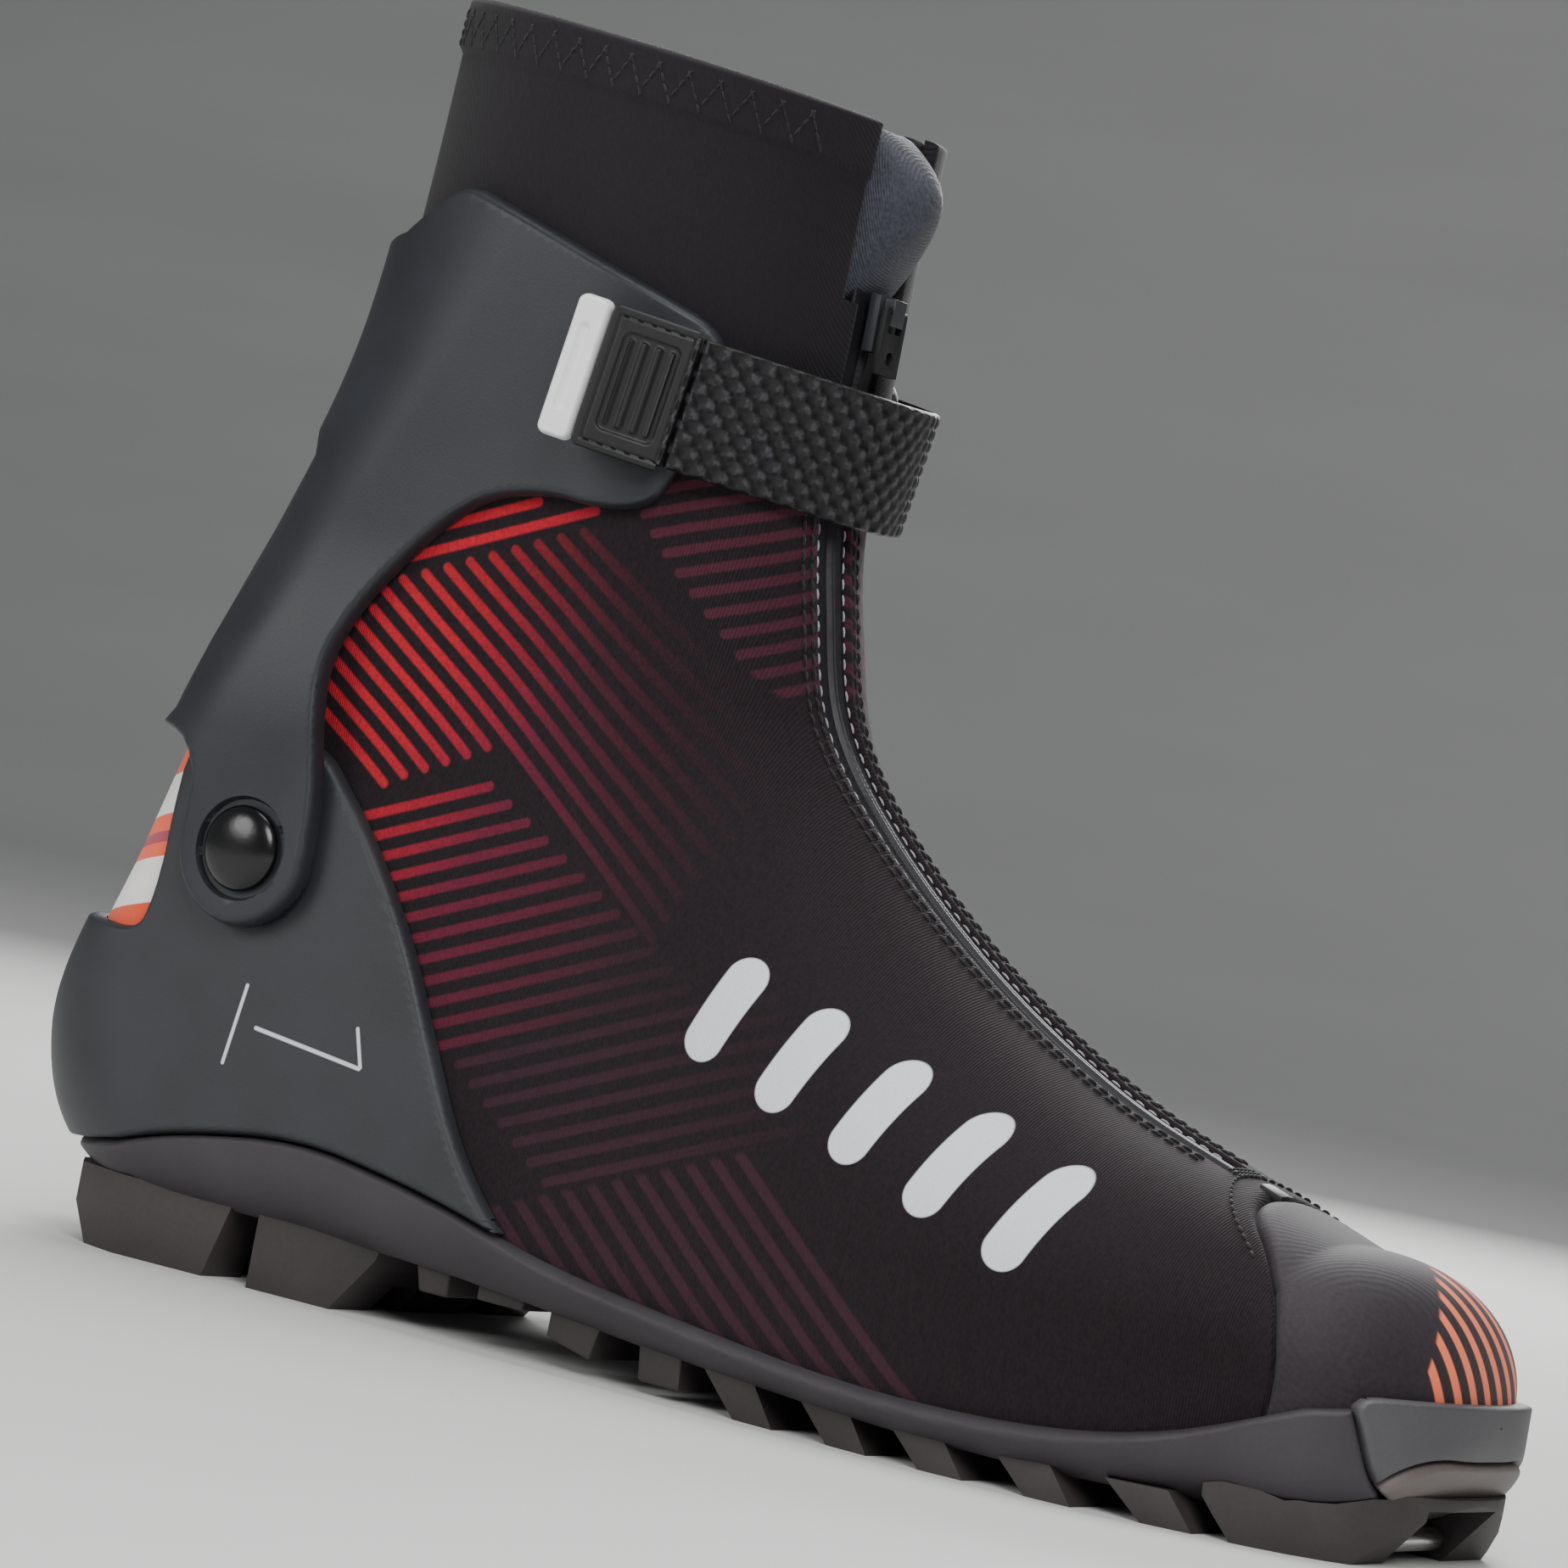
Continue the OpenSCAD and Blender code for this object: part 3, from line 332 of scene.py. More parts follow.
def inside(outline):
    """Distance from an outline in side view, positive inside it"""
    ring = np.array(outline, float)

    def distance(t):
        x, z = t[:, X], t[:, Z]
        best = np.full(len(t), 1e9)
        odd = np.zeros(len(t), bool)
        for (ax, az), (bx, bz) in zip(ring, np.roll(ring, -1, axis=0)):
            ex, ez = bx - ax, bz - az
            f = np.clip(((x - ax) * ex + (z - az) * ez) / (ex * ex + ez * ez + 1e-12), 0, 1)
            best = np.minimum(best, np.hypot(x - ax - f * ex, z - az - f * ez))
            hit = (az > z) != (bz > z)
            odd ^= hit & (x < ax + (z - az) / np.where(hit, bz - az, 1) * ex)
        return np.where(odd, best, -best)
    return distance


square = inside([[0, 0], [10, 0], [10, 10], [0, 10]])
print("2 mm inside a square:", square(np.array([[2.0, 0.0, 5.0]])))


# %% Sides of a line
def below(edge, shift=0):
    """Distance under a line drawn from heel to toe"""
    e = curved([(x, z + shift) for x, z in edge], False)
    return inside(np.vstack([e, [[e[-1][0], -400], [e[0][0], -400]]]))


def above(edge, shift=0):
    """Distance over a line drawn from heel to toe"""
    e = curved([(x, z + shift) for x, z in edge], False)
    return inside(np.vstack([e, [[e[-1][0], 600], [e[0][0], 600]]]))


def both(*parts):
    """Distance inside all of the parts"""
    return lambda t: np.min([p(t) for p in parts], axis=0)


def outside(part):
    """Distance outside a part"""
    return lambda t: -part(t)


print("a line with one corner becomes", len(curved([[0, 0], [1, 0], [1, 1]], False)), "points")


# %% Splitting the triangles
def split(table, faces, value, drop=False):
    """Split triangles where the value crosses zero; drop=True leaves out the negative side"""
    value = np.where(np.abs(value) < 1e-4, 1e-4, value)
    side = value > 0
    count = side[faces].sum(1)
    kept = [faces[count == 3]] + ([] if drop else [faces[count == 0]])
    mixed = faces[(count > 0) & (count < 3)]
    lone = np.where((side[mixed].sum(1) == 1)[:, None], side[mixed], ~side[mixed])
    a = lone.argmax(1)
    i = np.arange(len(mixed))
    p, q, r = mixed[i, a], mixed[i, (a + 1) % 3], mixed[i, (a + 2) % 3]
    edges = np.concatenate([np.column_stack([p, q]), np.column_stack([p, r])])
    keys, back_to = np.unique(np.sort(edges, 1), axis=0, return_inverse=True)
    back_to = back_to.reshape(-1)
    f = value[keys[:, 0]] / (value[keys[:, 0]] - value[keys[:, 1]])
    new = table[keys[:, 0]] * (1 - f)[:, None] + table[keys[:, 1]] * f[:, None]
    pq, pr = back_to[:len(mixed)] + len(table), back_to[len(mixed):] + len(table)
    tip = np.column_stack([p, pq, pr])
    foot = np.concatenate([np.column_stack([pq, q, r]), np.column_stack([pq, r, pr])])
    if drop:
        kept += [tip[side[p]], foot[np.tile(~side[p], 2)]]
    else:
        kept += [tip, foot]
    return np.vstack([table, new]), np.vstack(kept)


one = split(np.array([[0.0, 0], [1, 0], [0, 1]]), np.array([[0, 1, 2]]), np.array([-1.0, 1, 1]))
print("one triangle cut across gives", len(one[1]))


# %% Cutting out a sheet
def sheet_of(part, v0=-2, v1=12, levels=(), seams=()):
    """The part of the last where the distance is positive, split again at each level"""
    rows = np.array([(v >= v0) and (v <= v1) for v in columns_v])
    first, n = int(rows.argmax()), int(rows.sum())
    table = LAST[first:first + n].reshape(-1, LAST.shape[2])
    j, i = np.meshgrid(np.arange(n - 1), np.arange(COLS), indexing="ij")
    a, b = (j * COLS + i).ravel(), (j * COLS + (i + 1) % COLS).ravel()
    faces = np.vstack([np.column_stack([a, b, b + COLS]), np.column_stack([a, b + COLS, a + COLS])])
    table, faces = split(table, faces, part(table), True)
    for level in levels:
        table, faces = split(table, faces, part(table) - level)
    for seam, level in seams:
        table, faces = split(table, faces, seam(table) - level)
    used, back_to = np.unique(faces, return_inverse=True)
    return table[used], back_to.reshape(-1, 3)


print("the whole last has", len(sheet_of(lambda t: np.ones(len(t)))[1]), "triangles")


# %% From points to an object
def new_mesh(name, points, faces, finish, rest=None, smooth=40):
    """An object from drawn millimetres; each point keeps its place at rest for the patterns"""
    mesh = bpy.data.meshes.new(name)
    points = np.asarray(points, float)
    mesh.from_pydata(((points - (MID, 0, 0)) * 0.001).tolist(), [],
                     faces if isinstance(faces, list) else faces.tolist())
    mesh.update()
    mesh.polygons.foreach_set("use_smooth", [True] * len(mesh.polygons))
    mesh.set_sharp_from_angle(angle=math.radians(smooth))
    where = mesh.attributes.new("rest", "FLOAT_VECTOR", "POINT")
    where.data.foreach_set("vector", np.asarray(points if rest is None else rest,
                                                np.float32).ravel())
    mesh.materials.append(finish)
    obj = bpy.data.objects.new(name, mesh)
    bpy.context.scene.collection.objects.link(obj)
    return obj


print("drawn X of the frame's origin:", MID)

# %% A sheet with thickness
RIM = (0.06, 0.25, 0.6, 1.0)  # where the rounded rim has its points, as shares of its width


def shell(name, part, base, height, rim, finish, move=None, seams=(), v0=-2, v1=12, smooth=40):
    """A closed sheet from base up to height, both above the last, with a rounded outer rim"""
    sheet = sheet_of(part, v0, v1, [rim * f for f in RIM], seams)
    return closed(name, *sheet, part, base, height, rim, finish, move, smooth)


def closed(name, table, faces, part, base, height, rim, finish, move=None, smooth=40):
    """Give a sheet its outer and inner face, which meet along its edge"""
    depth = np.clip(part(table) / rim, 0, 1)
    depth[depth < 1e-3] = 0
    low = base(table) if callable(base) else np.full(len(table), float(base))
    top = height(table) if callable(height) else np.full(len(table), float(height))
    outer = low + (top - low) * np.sqrt(1 - (1 - depth) ** 2)
    points = table[:, :3] + table[:, 3:6] * outer[:, None]
    under = table[:, :3] + table[:, 3:6] * low[:, None]
    n = len(table)
    flip = np.cross(points[faces[:, 1]] - points[faces[:, 0]],
                    points[faces[:, 2]] - points[faces[:, 0]])
    if (flip * table[faces[:, 0], 3:6]).sum() < 0:
        faces = faces[:, ::-1]
    edge = depth == 0
    number = np.where(edge, np.arange(n), np.arange(n) + n)
    every = np.vstack([points, under])
    solid = np.vstack([faces, number[faces][:, ::-1]])
    solid = solid[(solid[:, 0] != solid[:, 1]) & (solid[:, 1] != solid[:, 2])]
    used, back_to = np.unique(solid, return_inverse=True)
    rest = np.vstack([table[:, :3], table[:, :3]])[used]
    around = np.concatenate([table[:, ROUND], table[:, ROUND]])[used]
    every = every[used]
    if move is not None:
        every = move(every)
    obj = new_mesh(name, every, back_to.reshape(-1, 3), finish, rest, smooth)
    round_it = obj.data.attributes.new("around", "FLOAT", "POINT")
    round_it.data.foreach_set("value", around.astype(np.float32))
    return obj


print("rim points:", len(RIM))


# %% Riding and staying in place
def ride(obj, body, slot_name, *nodes):
    """The piece moves with one body and stands for the named nodes"""
    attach(obj, body)
    if nodes:
        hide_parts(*nodes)
    return obj


def over_ankle(obj, slot_name, *nodes):
    """The piece stays where it is drawn and stands for the named nodes"""
    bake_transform(obj)
    if nodes:
        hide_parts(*nodes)
    return obj


# %% [markdown]
# ## The pattern pieces
# These lines are the boot's sewing pattern, seen from the side: the wavy top of the rand, the
# counter's curve up to the pivot, the cuff with its arm, the seams. Heel is on the left, toe on
# the right, and each list has only the points that its shape needs. They could be curves drawn by
# hand in the viewport, but a list can be measured and changed in one place.

# %% Pattern lines of the boot
RAND_TOP = [[-40, 18.5], [24, 18.5], [48, 24], [72, 27.4], [95, 24.5], [112, 21.5], [130, 17.4],
            [159, 14], [193, 10.8], [224, 11], [244, 14], [258, 19.5], [271, 25.5], [330, 28]]
SOLE_UNDER = [[-40, 14.5], [60, 14], [106, 13], [123, 11.5], [141, 9.6], [158, 8.8], [191, 7],
              [223, 6], [244, 6.2], [330, 6.6]]
COUNTER = [[-40, 59], [18, 57.5], [27, 57], [30, 60], [32, 78], [33, 91], [40, 94.5], [51, 97],
           [61, 94.5], [66, 89], [73, 82], [86, 66], [96, 49], [106, 33.5], [117, 22.5],
           [128, 15], [130, -20]]
TOE_SEAM = [[222, 64], [236, 56], [244, 50.5], [252, 45], [258.5, 37], [261.5, 26], [259, 8]]
NOSE = [[330, 29], [276, 27.3], [271, 26], [273, 20], [276, 9]]
VISOR = [[266, 6], [273, 12], [278, 17.5], [281.5, 19.2], [330, 20]]
HEEL_SEAM = [[-40, 54], [22, 54], [26, 54], [36, 62], [40, 75], [40, 120]]
PIVOT, ARM_ROUND = (51, 75), 14
ARM = [[PIVOT[0] + ARM_ROUND * math.cos(math.radians(a)),
        PIVOT[1] + ARM_ROUND * math.sin(math.radians(a))] for a in range(-170, 0, 20)]
CUFF = [[-40, 93], [30, 93], [38, 90]] + ARM + [
    [64, 86], [61.5, 98], [60, 110], [64, 121], [74, 134], [84, 142.5], [96, 145], [107, 144],
    [114, 145.5], [117, 149.5], [122, 171], [120.5, 177], [114, 181], [77, 194], [70, 195.5],
    [63, 191], [52, 184.5], [-40, 184.5]]
LEDGE = [[-40, 154], [30, 153], [44, 148], [48, 140], [42, 128], [34, 112], [31, 90], [-40, 80]]
SHAFT_SEAM = [[-40, 150], [60, 158], [100, 163.5], [330, 200]]
toe_side = inside(curved(TOE_SEAM, False).tolist() + [[400, 8], [400, 70]])
heel_side = inside(curved(HEEL_SEAM, False).tolist() + [[-40, 120]])
nose_side = inside(curved(NOSE, False).tolist() + [[330, 9]])
print("pattern lines:", 10)

# %% [markdown]
# ## Printed stretch fabric
# The upper is a thin knitted softshell. Its stripes are printed, not woven, so they are a colour
# pattern over the knit. Each family of stripes is a row of rounded bars: the shader rounds a
# place to the nearest bar and measures the distance to that bar's middle line, which stops at
# two slanting ends. An image could hold the print, but bars worked out in the shader stay sharp
# from any distance and move with the cloth. The knit's ribs are 0.45 mm apart, as on real cloth.

# %% Rows of printed bars
def printed_bars(tree, place, across, along, first, pitch, count, wide, start, stop, soft=0.2):
    """1 on the bars. start and stop give the ends as (place across, place along) at two bars"""
    p = add(tree, "ShaderNodeVectorMath", {0: place, 1: across}, 1, operation="DOT_PRODUCT")
    q = add(tree, "ShaderNodeVectorMath", {0: place, 1: along}, 1, operation="DOT_PRODUCT")
    k = add(tree, "ShaderNodeMath", {0: p, 1: first}, operation="SUBTRACT")
    k = add(tree, "ShaderNodeMath", {0: k, 1: pitch}, operation="DIVIDE")
    k = add(tree, "ShaderNodeMath", {0: k}, operation="ROUND")
    k = add(tree, "ShaderNodeClamp", {"Value": k, "Min": 0, "Max": count - 1})
    middle = add(tree, "ShaderNodeMath", {0: k, 1: pitch, 2: first}, operation="MULTIPLY_ADD")
    ends = [add(tree, "ShaderNodeMapRange", {"Value": middle, "From Min": e[0][0],
            "From Max": e[1][0], "To Min": e[0][1], "To Max": e[1][1]}) for e in (start, stop)]
    left = add(tree, "ShaderNodeMath", {0: q, 1: ends[0]}, operation="SUBTRACT")
    rest = add(tree, "ShaderNodeMath", {0: ends[1], 1: q}, operation="SUBTRACT")
    room = add(tree, "ShaderNodeMath", {0: left, 1: rest}, operation="MINIMUM")
    room = add(tree, "ShaderNodeMath", {0: room, 1: wide / 2}, operation="SUBTRACT")
    past = add(tree, "ShaderNodeMath", {0: room, 1: 0.0}, operation="MINIMUM")
    off = add(tree, "ShaderNodeMath", {0: p, 1: middle}, operation="SUBTRACT")
    pair = add(tree, "ShaderNodeCombineXYZ", {0: off, 1: past})
    reach = add(tree, "ShaderNodeVectorMath", {0: pair}, 1, operation="LENGTH")
    return add(tree, "ShaderNodeMapRange", {"Value": reach, "From Min": wide / 2 + soft,
               "From Max": wide / 2 - soft})


print("values for a row of bars:", printed_bars.__code__.co_argcount - 2)

# %% Ribs of the knit
RIB = 0.45
WAVE_TURN = 0.314  # a wave texture of this scale has one wave in each unit of length


def knit_height(tree, place, rib, tilt=0.0):
    """Ribs of this spacing in millimetres, with fuzz over them; also gives the fuzz alone"""
    turned = add(tree, "ShaderNodeMapping", {"Vector": place, "Rotation": (0, tilt, 0)})
    ribs = add(tree, "ShaderNodeTexWave", {"Vector": turned, "Scale": WAVE_TURN / rib,
               "Distortion": 1.5, "Detail": 1.0, "Detail Scale": 1.5}, 1, bands_direction="X")
    fuzz = add(tree, "ShaderNodeTexNoise", {"Vector": place, "Scale": 1.6, "Detail": 3.0})
    return add(tree, "ShaderNodeMath", {0: fuzz, 1: 0.8, 2: ribs}, operation="MULTIPLY_ADD"), fuzz


print("ribs in 10 mm:", round(10 / RIB))

# %% Where the bars lie
FALL, FALL_N = (0.816, 0, -0.578), (0.578, 0, 0.816)
RISE, RISE_N = (0.935, 0, 0.355), (-0.355, 0, 0.935)
BARS = [  # across, along, first, pitch, count, width, start line, stop line
    (FALL_N, FALL, 116.1, 3.85, 6, 1.7, ((110, -30), (135, -18)), ((116.8, 7.5), (135, 18))),
    (FALL_N, FALL, 139.2, 3.85, 10, 1.7, ((139, -20), (174, 3)), ((138, 69), (175, 58))),
    (RISE_N, RISE, -15.9, 3.9, 7, 1.7, ((-16, 127.6), (8, 110)), ((-16, 182), (8, 176))),
    (RISE_N, RISE, 11.4, 3.9, 12, 1.7, ((0, 0), (50, 0)), ((11.4, 161), (54.3, 122.6))),
    (RISE_N, RISE, 97.0, 3.9, 2, 1.7, ((97, 108), (101, 116)), ((97, 150), (101, 139))),
    ((0.616, 0, 0.788), (0.788, 0, -0.616), 91.0, 4.4, 11, 1.9,
     ((91, 50), (135, 100)), ((91, 110), (135, 175)))]
HEM_BARS = ((0.29, 0, 0.957), (-0.957, 0, 0.29), 118.5, 3.6, 12, 1.6,
            ((118, 16), (158, -4)), ((118, 60), (158, 60)))
WHITE_BARS = ((0.946, 0, -0.323), (0.323, 0, 0.946), 124.0, 17.0, 5, 7.5,
              ((124, 102), (200, 102)), ((124, 121), (200, 121)), 0.15)
print("printed bars:", sum(b[4] for b in BARS) + HEM_BARS[4] + WHITE_BARS[4])


# %% Printed fabric
# Ink sinks into the knit, so a stripe is as dull as the cloth, speckled, and fades to the front
def printed_fabric(name, cloth, bright, crimson, dusk):
    """Black knit with all the printed bars; the three inks run from the heel to the toe"""
    made, tree, shader = material(name, cloth, 0.78, **{"Specular IOR Level": 0.25,
                                  "Sheen Weight": 0.07, "Sheen Roughness": 0.45})
    place = rest_place(tree)
    height, fuzz = knit_height(tree, place, RIB)
    speckle = add(tree, "ShaderNodeMapRange", {"Value": fuzz, "From Min": 0.36,
                  "From Max": 0.62, "To Min": 0.72, "To Max": 1.0})
    colour = add(tree, "ShaderNodeValToRGB", {"Fac": fuzz},
                 stops=[(0.3, "#0c050a"), (0.7, "#1f1219")])
    far = add(tree, "ShaderNodeVectorMath", {0: place, 1: (0.9, 0, -0.44)}, 1,
              operation="DOT_PRODUCT")
    fade = add(tree, "ShaderNodeMapRange", {"Value": far, "From Min": 5.0, "From Max": 125.0})
    ink = add(tree, "ShaderNodeValToRGB", {"Fac": fade}, stops=[
        (0.0, bright), (0.14, bright), (0.36, crimson), (0.7, dusk), (1.0, "#1f151b")])
    low = add(tree, "ShaderNodeVectorMath", {0: place, 1: RISE_N}, 1, operation="DOT_PRODUCT")
    low = add(tree, "ShaderNodeMapRange", {"Value": low, "From Min": -18.5, "From Max": -17.5,
              "To Min": 1.0, "To Max": 0.0})
    drop = add(tree, "ShaderNodeVectorMath", {0: place, 1: (0.8, 0, 0.6)}, 1,
               operation="DOT_PRODUCT")
    # the bars of the first four rows fade out towards the front and top
    worn = add(tree, "ShaderNodeMapRange", {"Value": drop, "From Min": 128.0, "From Max": 182.0,
               "To Min": 1.0, "To Max": 0.0}, interpolation_type="SMOOTHSTEP")
    for row, bars in enumerate(BARS):
        mask = printed_bars(tree, place, *bars)
        if row in (0, 1, 2, 3):
            mask = add(tree, "ShaderNodeMath", {0: mask, 1: worn}, operation="MULTIPLY")
        if row == 5:
            mask = add(tree, "ShaderNodeMath", {0: mask, 1: low}, operation="MULTIPLY")
        mask = add(tree, "ShaderNodeMath", {0: mask, 1: speckle}, operation="MULTIPLY")
        tint = ink
        if row in (2, 5):
            tint = add(tree, "ShaderNodeValToRGB", {"Fac": fade},
                       stops=[(0.0, "#5e1a2e"), (0.6, "#351826"), (1.0, "#3a1b28")])
        colour = add(tree, "ShaderNodeMix", {0: mask, 6: colour, 7: tint}, 2, data_type="RGBA")
    u = add(tree, "ShaderNodeAttribute", attribute_name="around", out=2)
    u = add(tree, "ShaderNodeMath", {0: u}, operation="ABSOLUTE")
    z = add(tree, "ShaderNodeSeparateXYZ", {0: place}, 2)
    flat = add(tree, "ShaderNodeCombineXYZ", {0: u, 2: z})
    mask = printed_bars(tree, flat, *HEM_BARS)
    mask = add(tree, "ShaderNodeMath", {0: mask, 1: speckle}, operation="MULTIPLY")
    corner = add(tree, "ShaderNodeVectorMath", {0: place, 1: FALL_N}, 1, operation="DOT_PRODUCT")
    corner = add(tree, "ShaderNodeMapRange", {"Value": corner, "From Min": 175.8,
                 "From Max": 176.8})
    mask = add(tree, "ShaderNodeMath", {0: mask, 1: corner}, operation="MULTIPLY")
    c_ink = add(tree, "ShaderNodeValToRGB", {"Fac": fade},
                stops=[(0.0, "#561a2c"), (0.5, "#45192a"), (1.0, "#331722")])
    colour = add(tree, "ShaderNodeMix", {0: mask, 6: colour, 7: c_ink}, 2, data_type="RGBA")
    plain = printed_bars(tree, place, *WHITE_BARS)
    colour = add(tree, "ShaderNodeMix", {0: plain, 6: colour, 7: paint("#dfe3ea")}, 2,
                 data_type="RGBA")
    finish_with(tree, shader, colour, None, height, 0.12, 0.7)
    return made


printed = printed_fabric("printed_knit_softshell", "#151014", "#bd1a2b", "#6b1530", "#341522")
print("fabric nodes:", len(printed.node_tree.nodes))

# %% [markdown]
# ## Upper
# The upper is cut from the toe seam to a seam under the strap, and runs without a break over
# the ankle, so it is one sheet from the boot up under the cuff. It is 2 mm thick and
# lies on the last. The rand, the counter and the cuff cover its lower and rear edges.

# %% Upper
FABRIC = 1.9  # how deep the fabric's inner face lies under the surface
zip_opening = lambda t: np.where((t[:, V] > 1.15) & (t[:, BACK] < 0.5), 5.2 - np.abs(t[:, Y]), -9.)
upper_part = both(outside(toe_side), below(SHAFT_SEAM), above(SOLE_UNDER),
                  outside(zip_opening), outside(heel_side))
upper = shell("printed_upper", upper_part, -FABRIC, 0.0, 0.7, printed, v1=9.5)
over_ankle(upper, "knit", "vamp", "ankle_gusset")
print("upper:", len(upper.data.vertices), "points")

# %% [markdown]
# ## Heel window
# Above the counter the heel shows a bright knit with printed bands. The bands are a colour ramp
# along one slanting direction, without blending between its stops, which is the simplest print
# there is.

# %% Heel window
# Polyester knit dyed bright: dull, with a slight bloom at grazing angles
orange_knit, tree, shader = material("orange_knit", "#f0562a", 0.75, **{"Sheen Weight": 0.2})
place = rest_place(tree)
height, fuzz = knit_height(tree, place, RIB)
band = add(tree, "ShaderNodeVectorMath", {0: place, 1: (-0.26, 0, 0.966)}, 1,
           operation="DOT_PRODUCT")
band = add(tree, "ShaderNodeMapRange", {"Value": band, "From Min": 40.0, "From Max": 90.0})
bands = add(tree, "ShaderNodeValToRGB", {"Fac": band}, stops=[
    (0.0, "#f0532c"), (0.25, "#f7f4f1"), (0.41, "#ff5f38"), (0.46, "#b03c50"), (0.5, "#ff5f38"),
    (0.56, "#f7f4f1"), (0.71, "#ff5f38")])
bands.node.color_ramp.interpolation = "CONSTANT"
finish_with(tree, shader, bands, None, height, 0.12, 0.7)
heel = shell("heel_window_knit", heel_side, -FABRIC, 0.0, 0.7, orange_knit, v0=4, v1=9)
over_ankle(heel, "orange_knit", "heel_panel")
print("heel window:", len(heel.data.vertices), "points")

# %% [markdown]
# ## Toe panel
# The toe is a separate panel of fine twill, sewn on along a curved seam, with orange bars that
# run up over the toe cap. Twill's diagonal lines are 0.7 mm apart. The bars are cut off above by
# a curve, where the print ends, and in front of a line across the toe.

# %% Toe panel
# Tightly woven twill: nearly matt, a little smoother than the knit
twill, tree, shader = material("toe_twill", "#2a2329", 0.7, **{"Sheen Weight": 0.08})
place = rest_place(tree)
TWILL = 0.7
turned = add(tree, "ShaderNodeMapping", {"Vector": place, "Rotation": (0.0, 0.75, 0.5)})
lines = add(tree, "ShaderNodeTexWave", {"Vector": turned, "Scale": WAVE_TURN / TWILL,
            "Distortion": 1.5,
            "Detail": 1.0}, 1, bands_direction="X")
fuzz = add(tree, "ShaderNodeTexNoise", {"Vector": place, "Scale": 1.2, "Detail": 3.0})
height = add(tree, "ShaderNodeMath", {0: fuzz, 1: 0.5, 2: lines}, operation="MULTIPLY_ADD")
cloth = add(tree, "ShaderNodeValToRGB", {"Fac": fuzz}, stops=[(0.3, "#140c13"), (0.7, "#241a23")])
x, y, z = [add(tree, "ShaderNodeSeparateXYZ", {0: place}, i) for i in range(3)]
lean = add(tree, "ShaderNodeMath", {0: z, 1: 0.45, 2: y}, operation="MULTIPLY_ADD")
flat = add(tree, "ShaderNodeCombineXYZ", {0: lean, 2: z})
bars = printed_bars(tree, flat, (1, 0, 0), (0, 0, 1), 0.25, 5.3, 7, 2.3,
                       ((0, -50), (30, -50)), ((0, 60), (30, 60)))
gone = add(tree, "ShaderNodeMath", {0: 32.05, 1: lean}, operation="SUBTRACT")
gone = add(tree, "ShaderNodeMath", {0: gone, 1: 31.8}, operation="DIVIDE")
gone = add(tree, "ShaderNodeMath", {0: gone, 1: 2.0}, operation="POWER")
top = add(tree, "ShaderNodeMath", {0: gone, 1: -14.0, 2: 46.9}, operation="MULTIPLY_ADD")
under = add(tree, "ShaderNodeMath", {0: top, 1: z}, operation="SUBTRACT")
under = add(tree, "ShaderNodeMapRange", {"Value": under, "From Min": -0.2, "From Max": 0.4})
ahead = add(tree, "ShaderNodeMapRange", {"Value": x, "From Min": 261.0, "From Max": 262.0})
bars = add(tree, "ShaderNodeMath", {0: bars, 1: under}, operation="MULTIPLY")
bars = add(tree, "ShaderNodeMath", {0: bars, 1: ahead}, operation="MULTIPLY")
finish_with(tree, shader, add(tree, "ShaderNodeMix", {0: bars, 6: cloth, 7: paint("#ff7a4f")}, 2,
            data_type="RGBA"), None, height, 0.06, 0.35)
toe = shell("toe_panel_twill", both(toe_side, above(SOLE_UNDER)), -FABRIC, 0.15, 0.8, twill, v1=1.5)
ride(toe, "boot", "twill", "toe_panel")
print("toe panel:", len(toe.data.vertices), "points")

# %% [markdown]
# ## Moulded finishes
# Injection moulding leaves the mould's fine texture on a part. It breaks up the highlight, and a
# slow change of tone over some centimetres comes from flow and handling. Both are noise here: the
# fine one also drives the relief. A flat grey with one roughness would look like a sketch.

# %% Moulded materials
def moulded(name, dark, light, roughness, grain, ior=1.5, kept=False, **more):
    """Plastic or rubber with this many specks to the millimetre"""
    made, tree, shader = material(name, dark, roughness, ior, **more)
    place = rest_place(tree, kept)
    fine = add(tree, "ShaderNodeTexNoise", {"Vector": place, "Scale": grain, "Detail": 4.0})
    broad = add(tree, "ShaderNodeTexNoise", {"Vector": place, "Scale": 0.05, "Detail": 2.0})
    mix = add(tree, "ShaderNodeMath", {0: fine, 1: 0.35, 2: broad}, operation="MULTIPLY_ADD")
    rough = add(tree, "ShaderNodeMapRange", {"Value": broad, "To Min": roughness - 0.06,
                "To Max": roughness + 0.08})
    colour = add(tree, "ShaderNodeValToRGB", {"Fac": mix}, stops=[(0.4, dark), (0.9, light)])
    finish_with(tree, shader, colour, rough, fine, 0.05, 0.5)
    return made


# Soft-touch lacquered nylon: semi-matt, faintly bluish, with a broad soft highlight
nylon_cuff = moulded("soft_touch_nylon_cuff", "#1a1c21", "#24272d", 0.47, 2.2)
nylon_counter = moulded("soft_touch_nylon_counter", "#222427", "#2d3034", 0.52, 2.2)
# Soft thermoplastic rubber: duller than nylon and warm grey; the visor and the bumper are paler
rand_tpu = moulded("charcoal_tpu", "#2f2b2f", "#3b373b", 0.6, 1.5)
tread_tpu = moulded("taupe_tpu", "#2c2728", "#3f3838", 0.62, 1.2)
visor_tpu = moulded("pale_taupe_tpu", "#5c5350", "#6e6562", 0.55, 1.2)
bumper_tpu = moulded("toe_bumper_tpu", "#464447", "#535154", 0.52, 1.5)
# Polished acetal, black and glossy, shows a small sharp highlight
gloss_black = moulded("gloss_black_acetal", "#08080a", "#0e0e10", 0.22, 1.0)
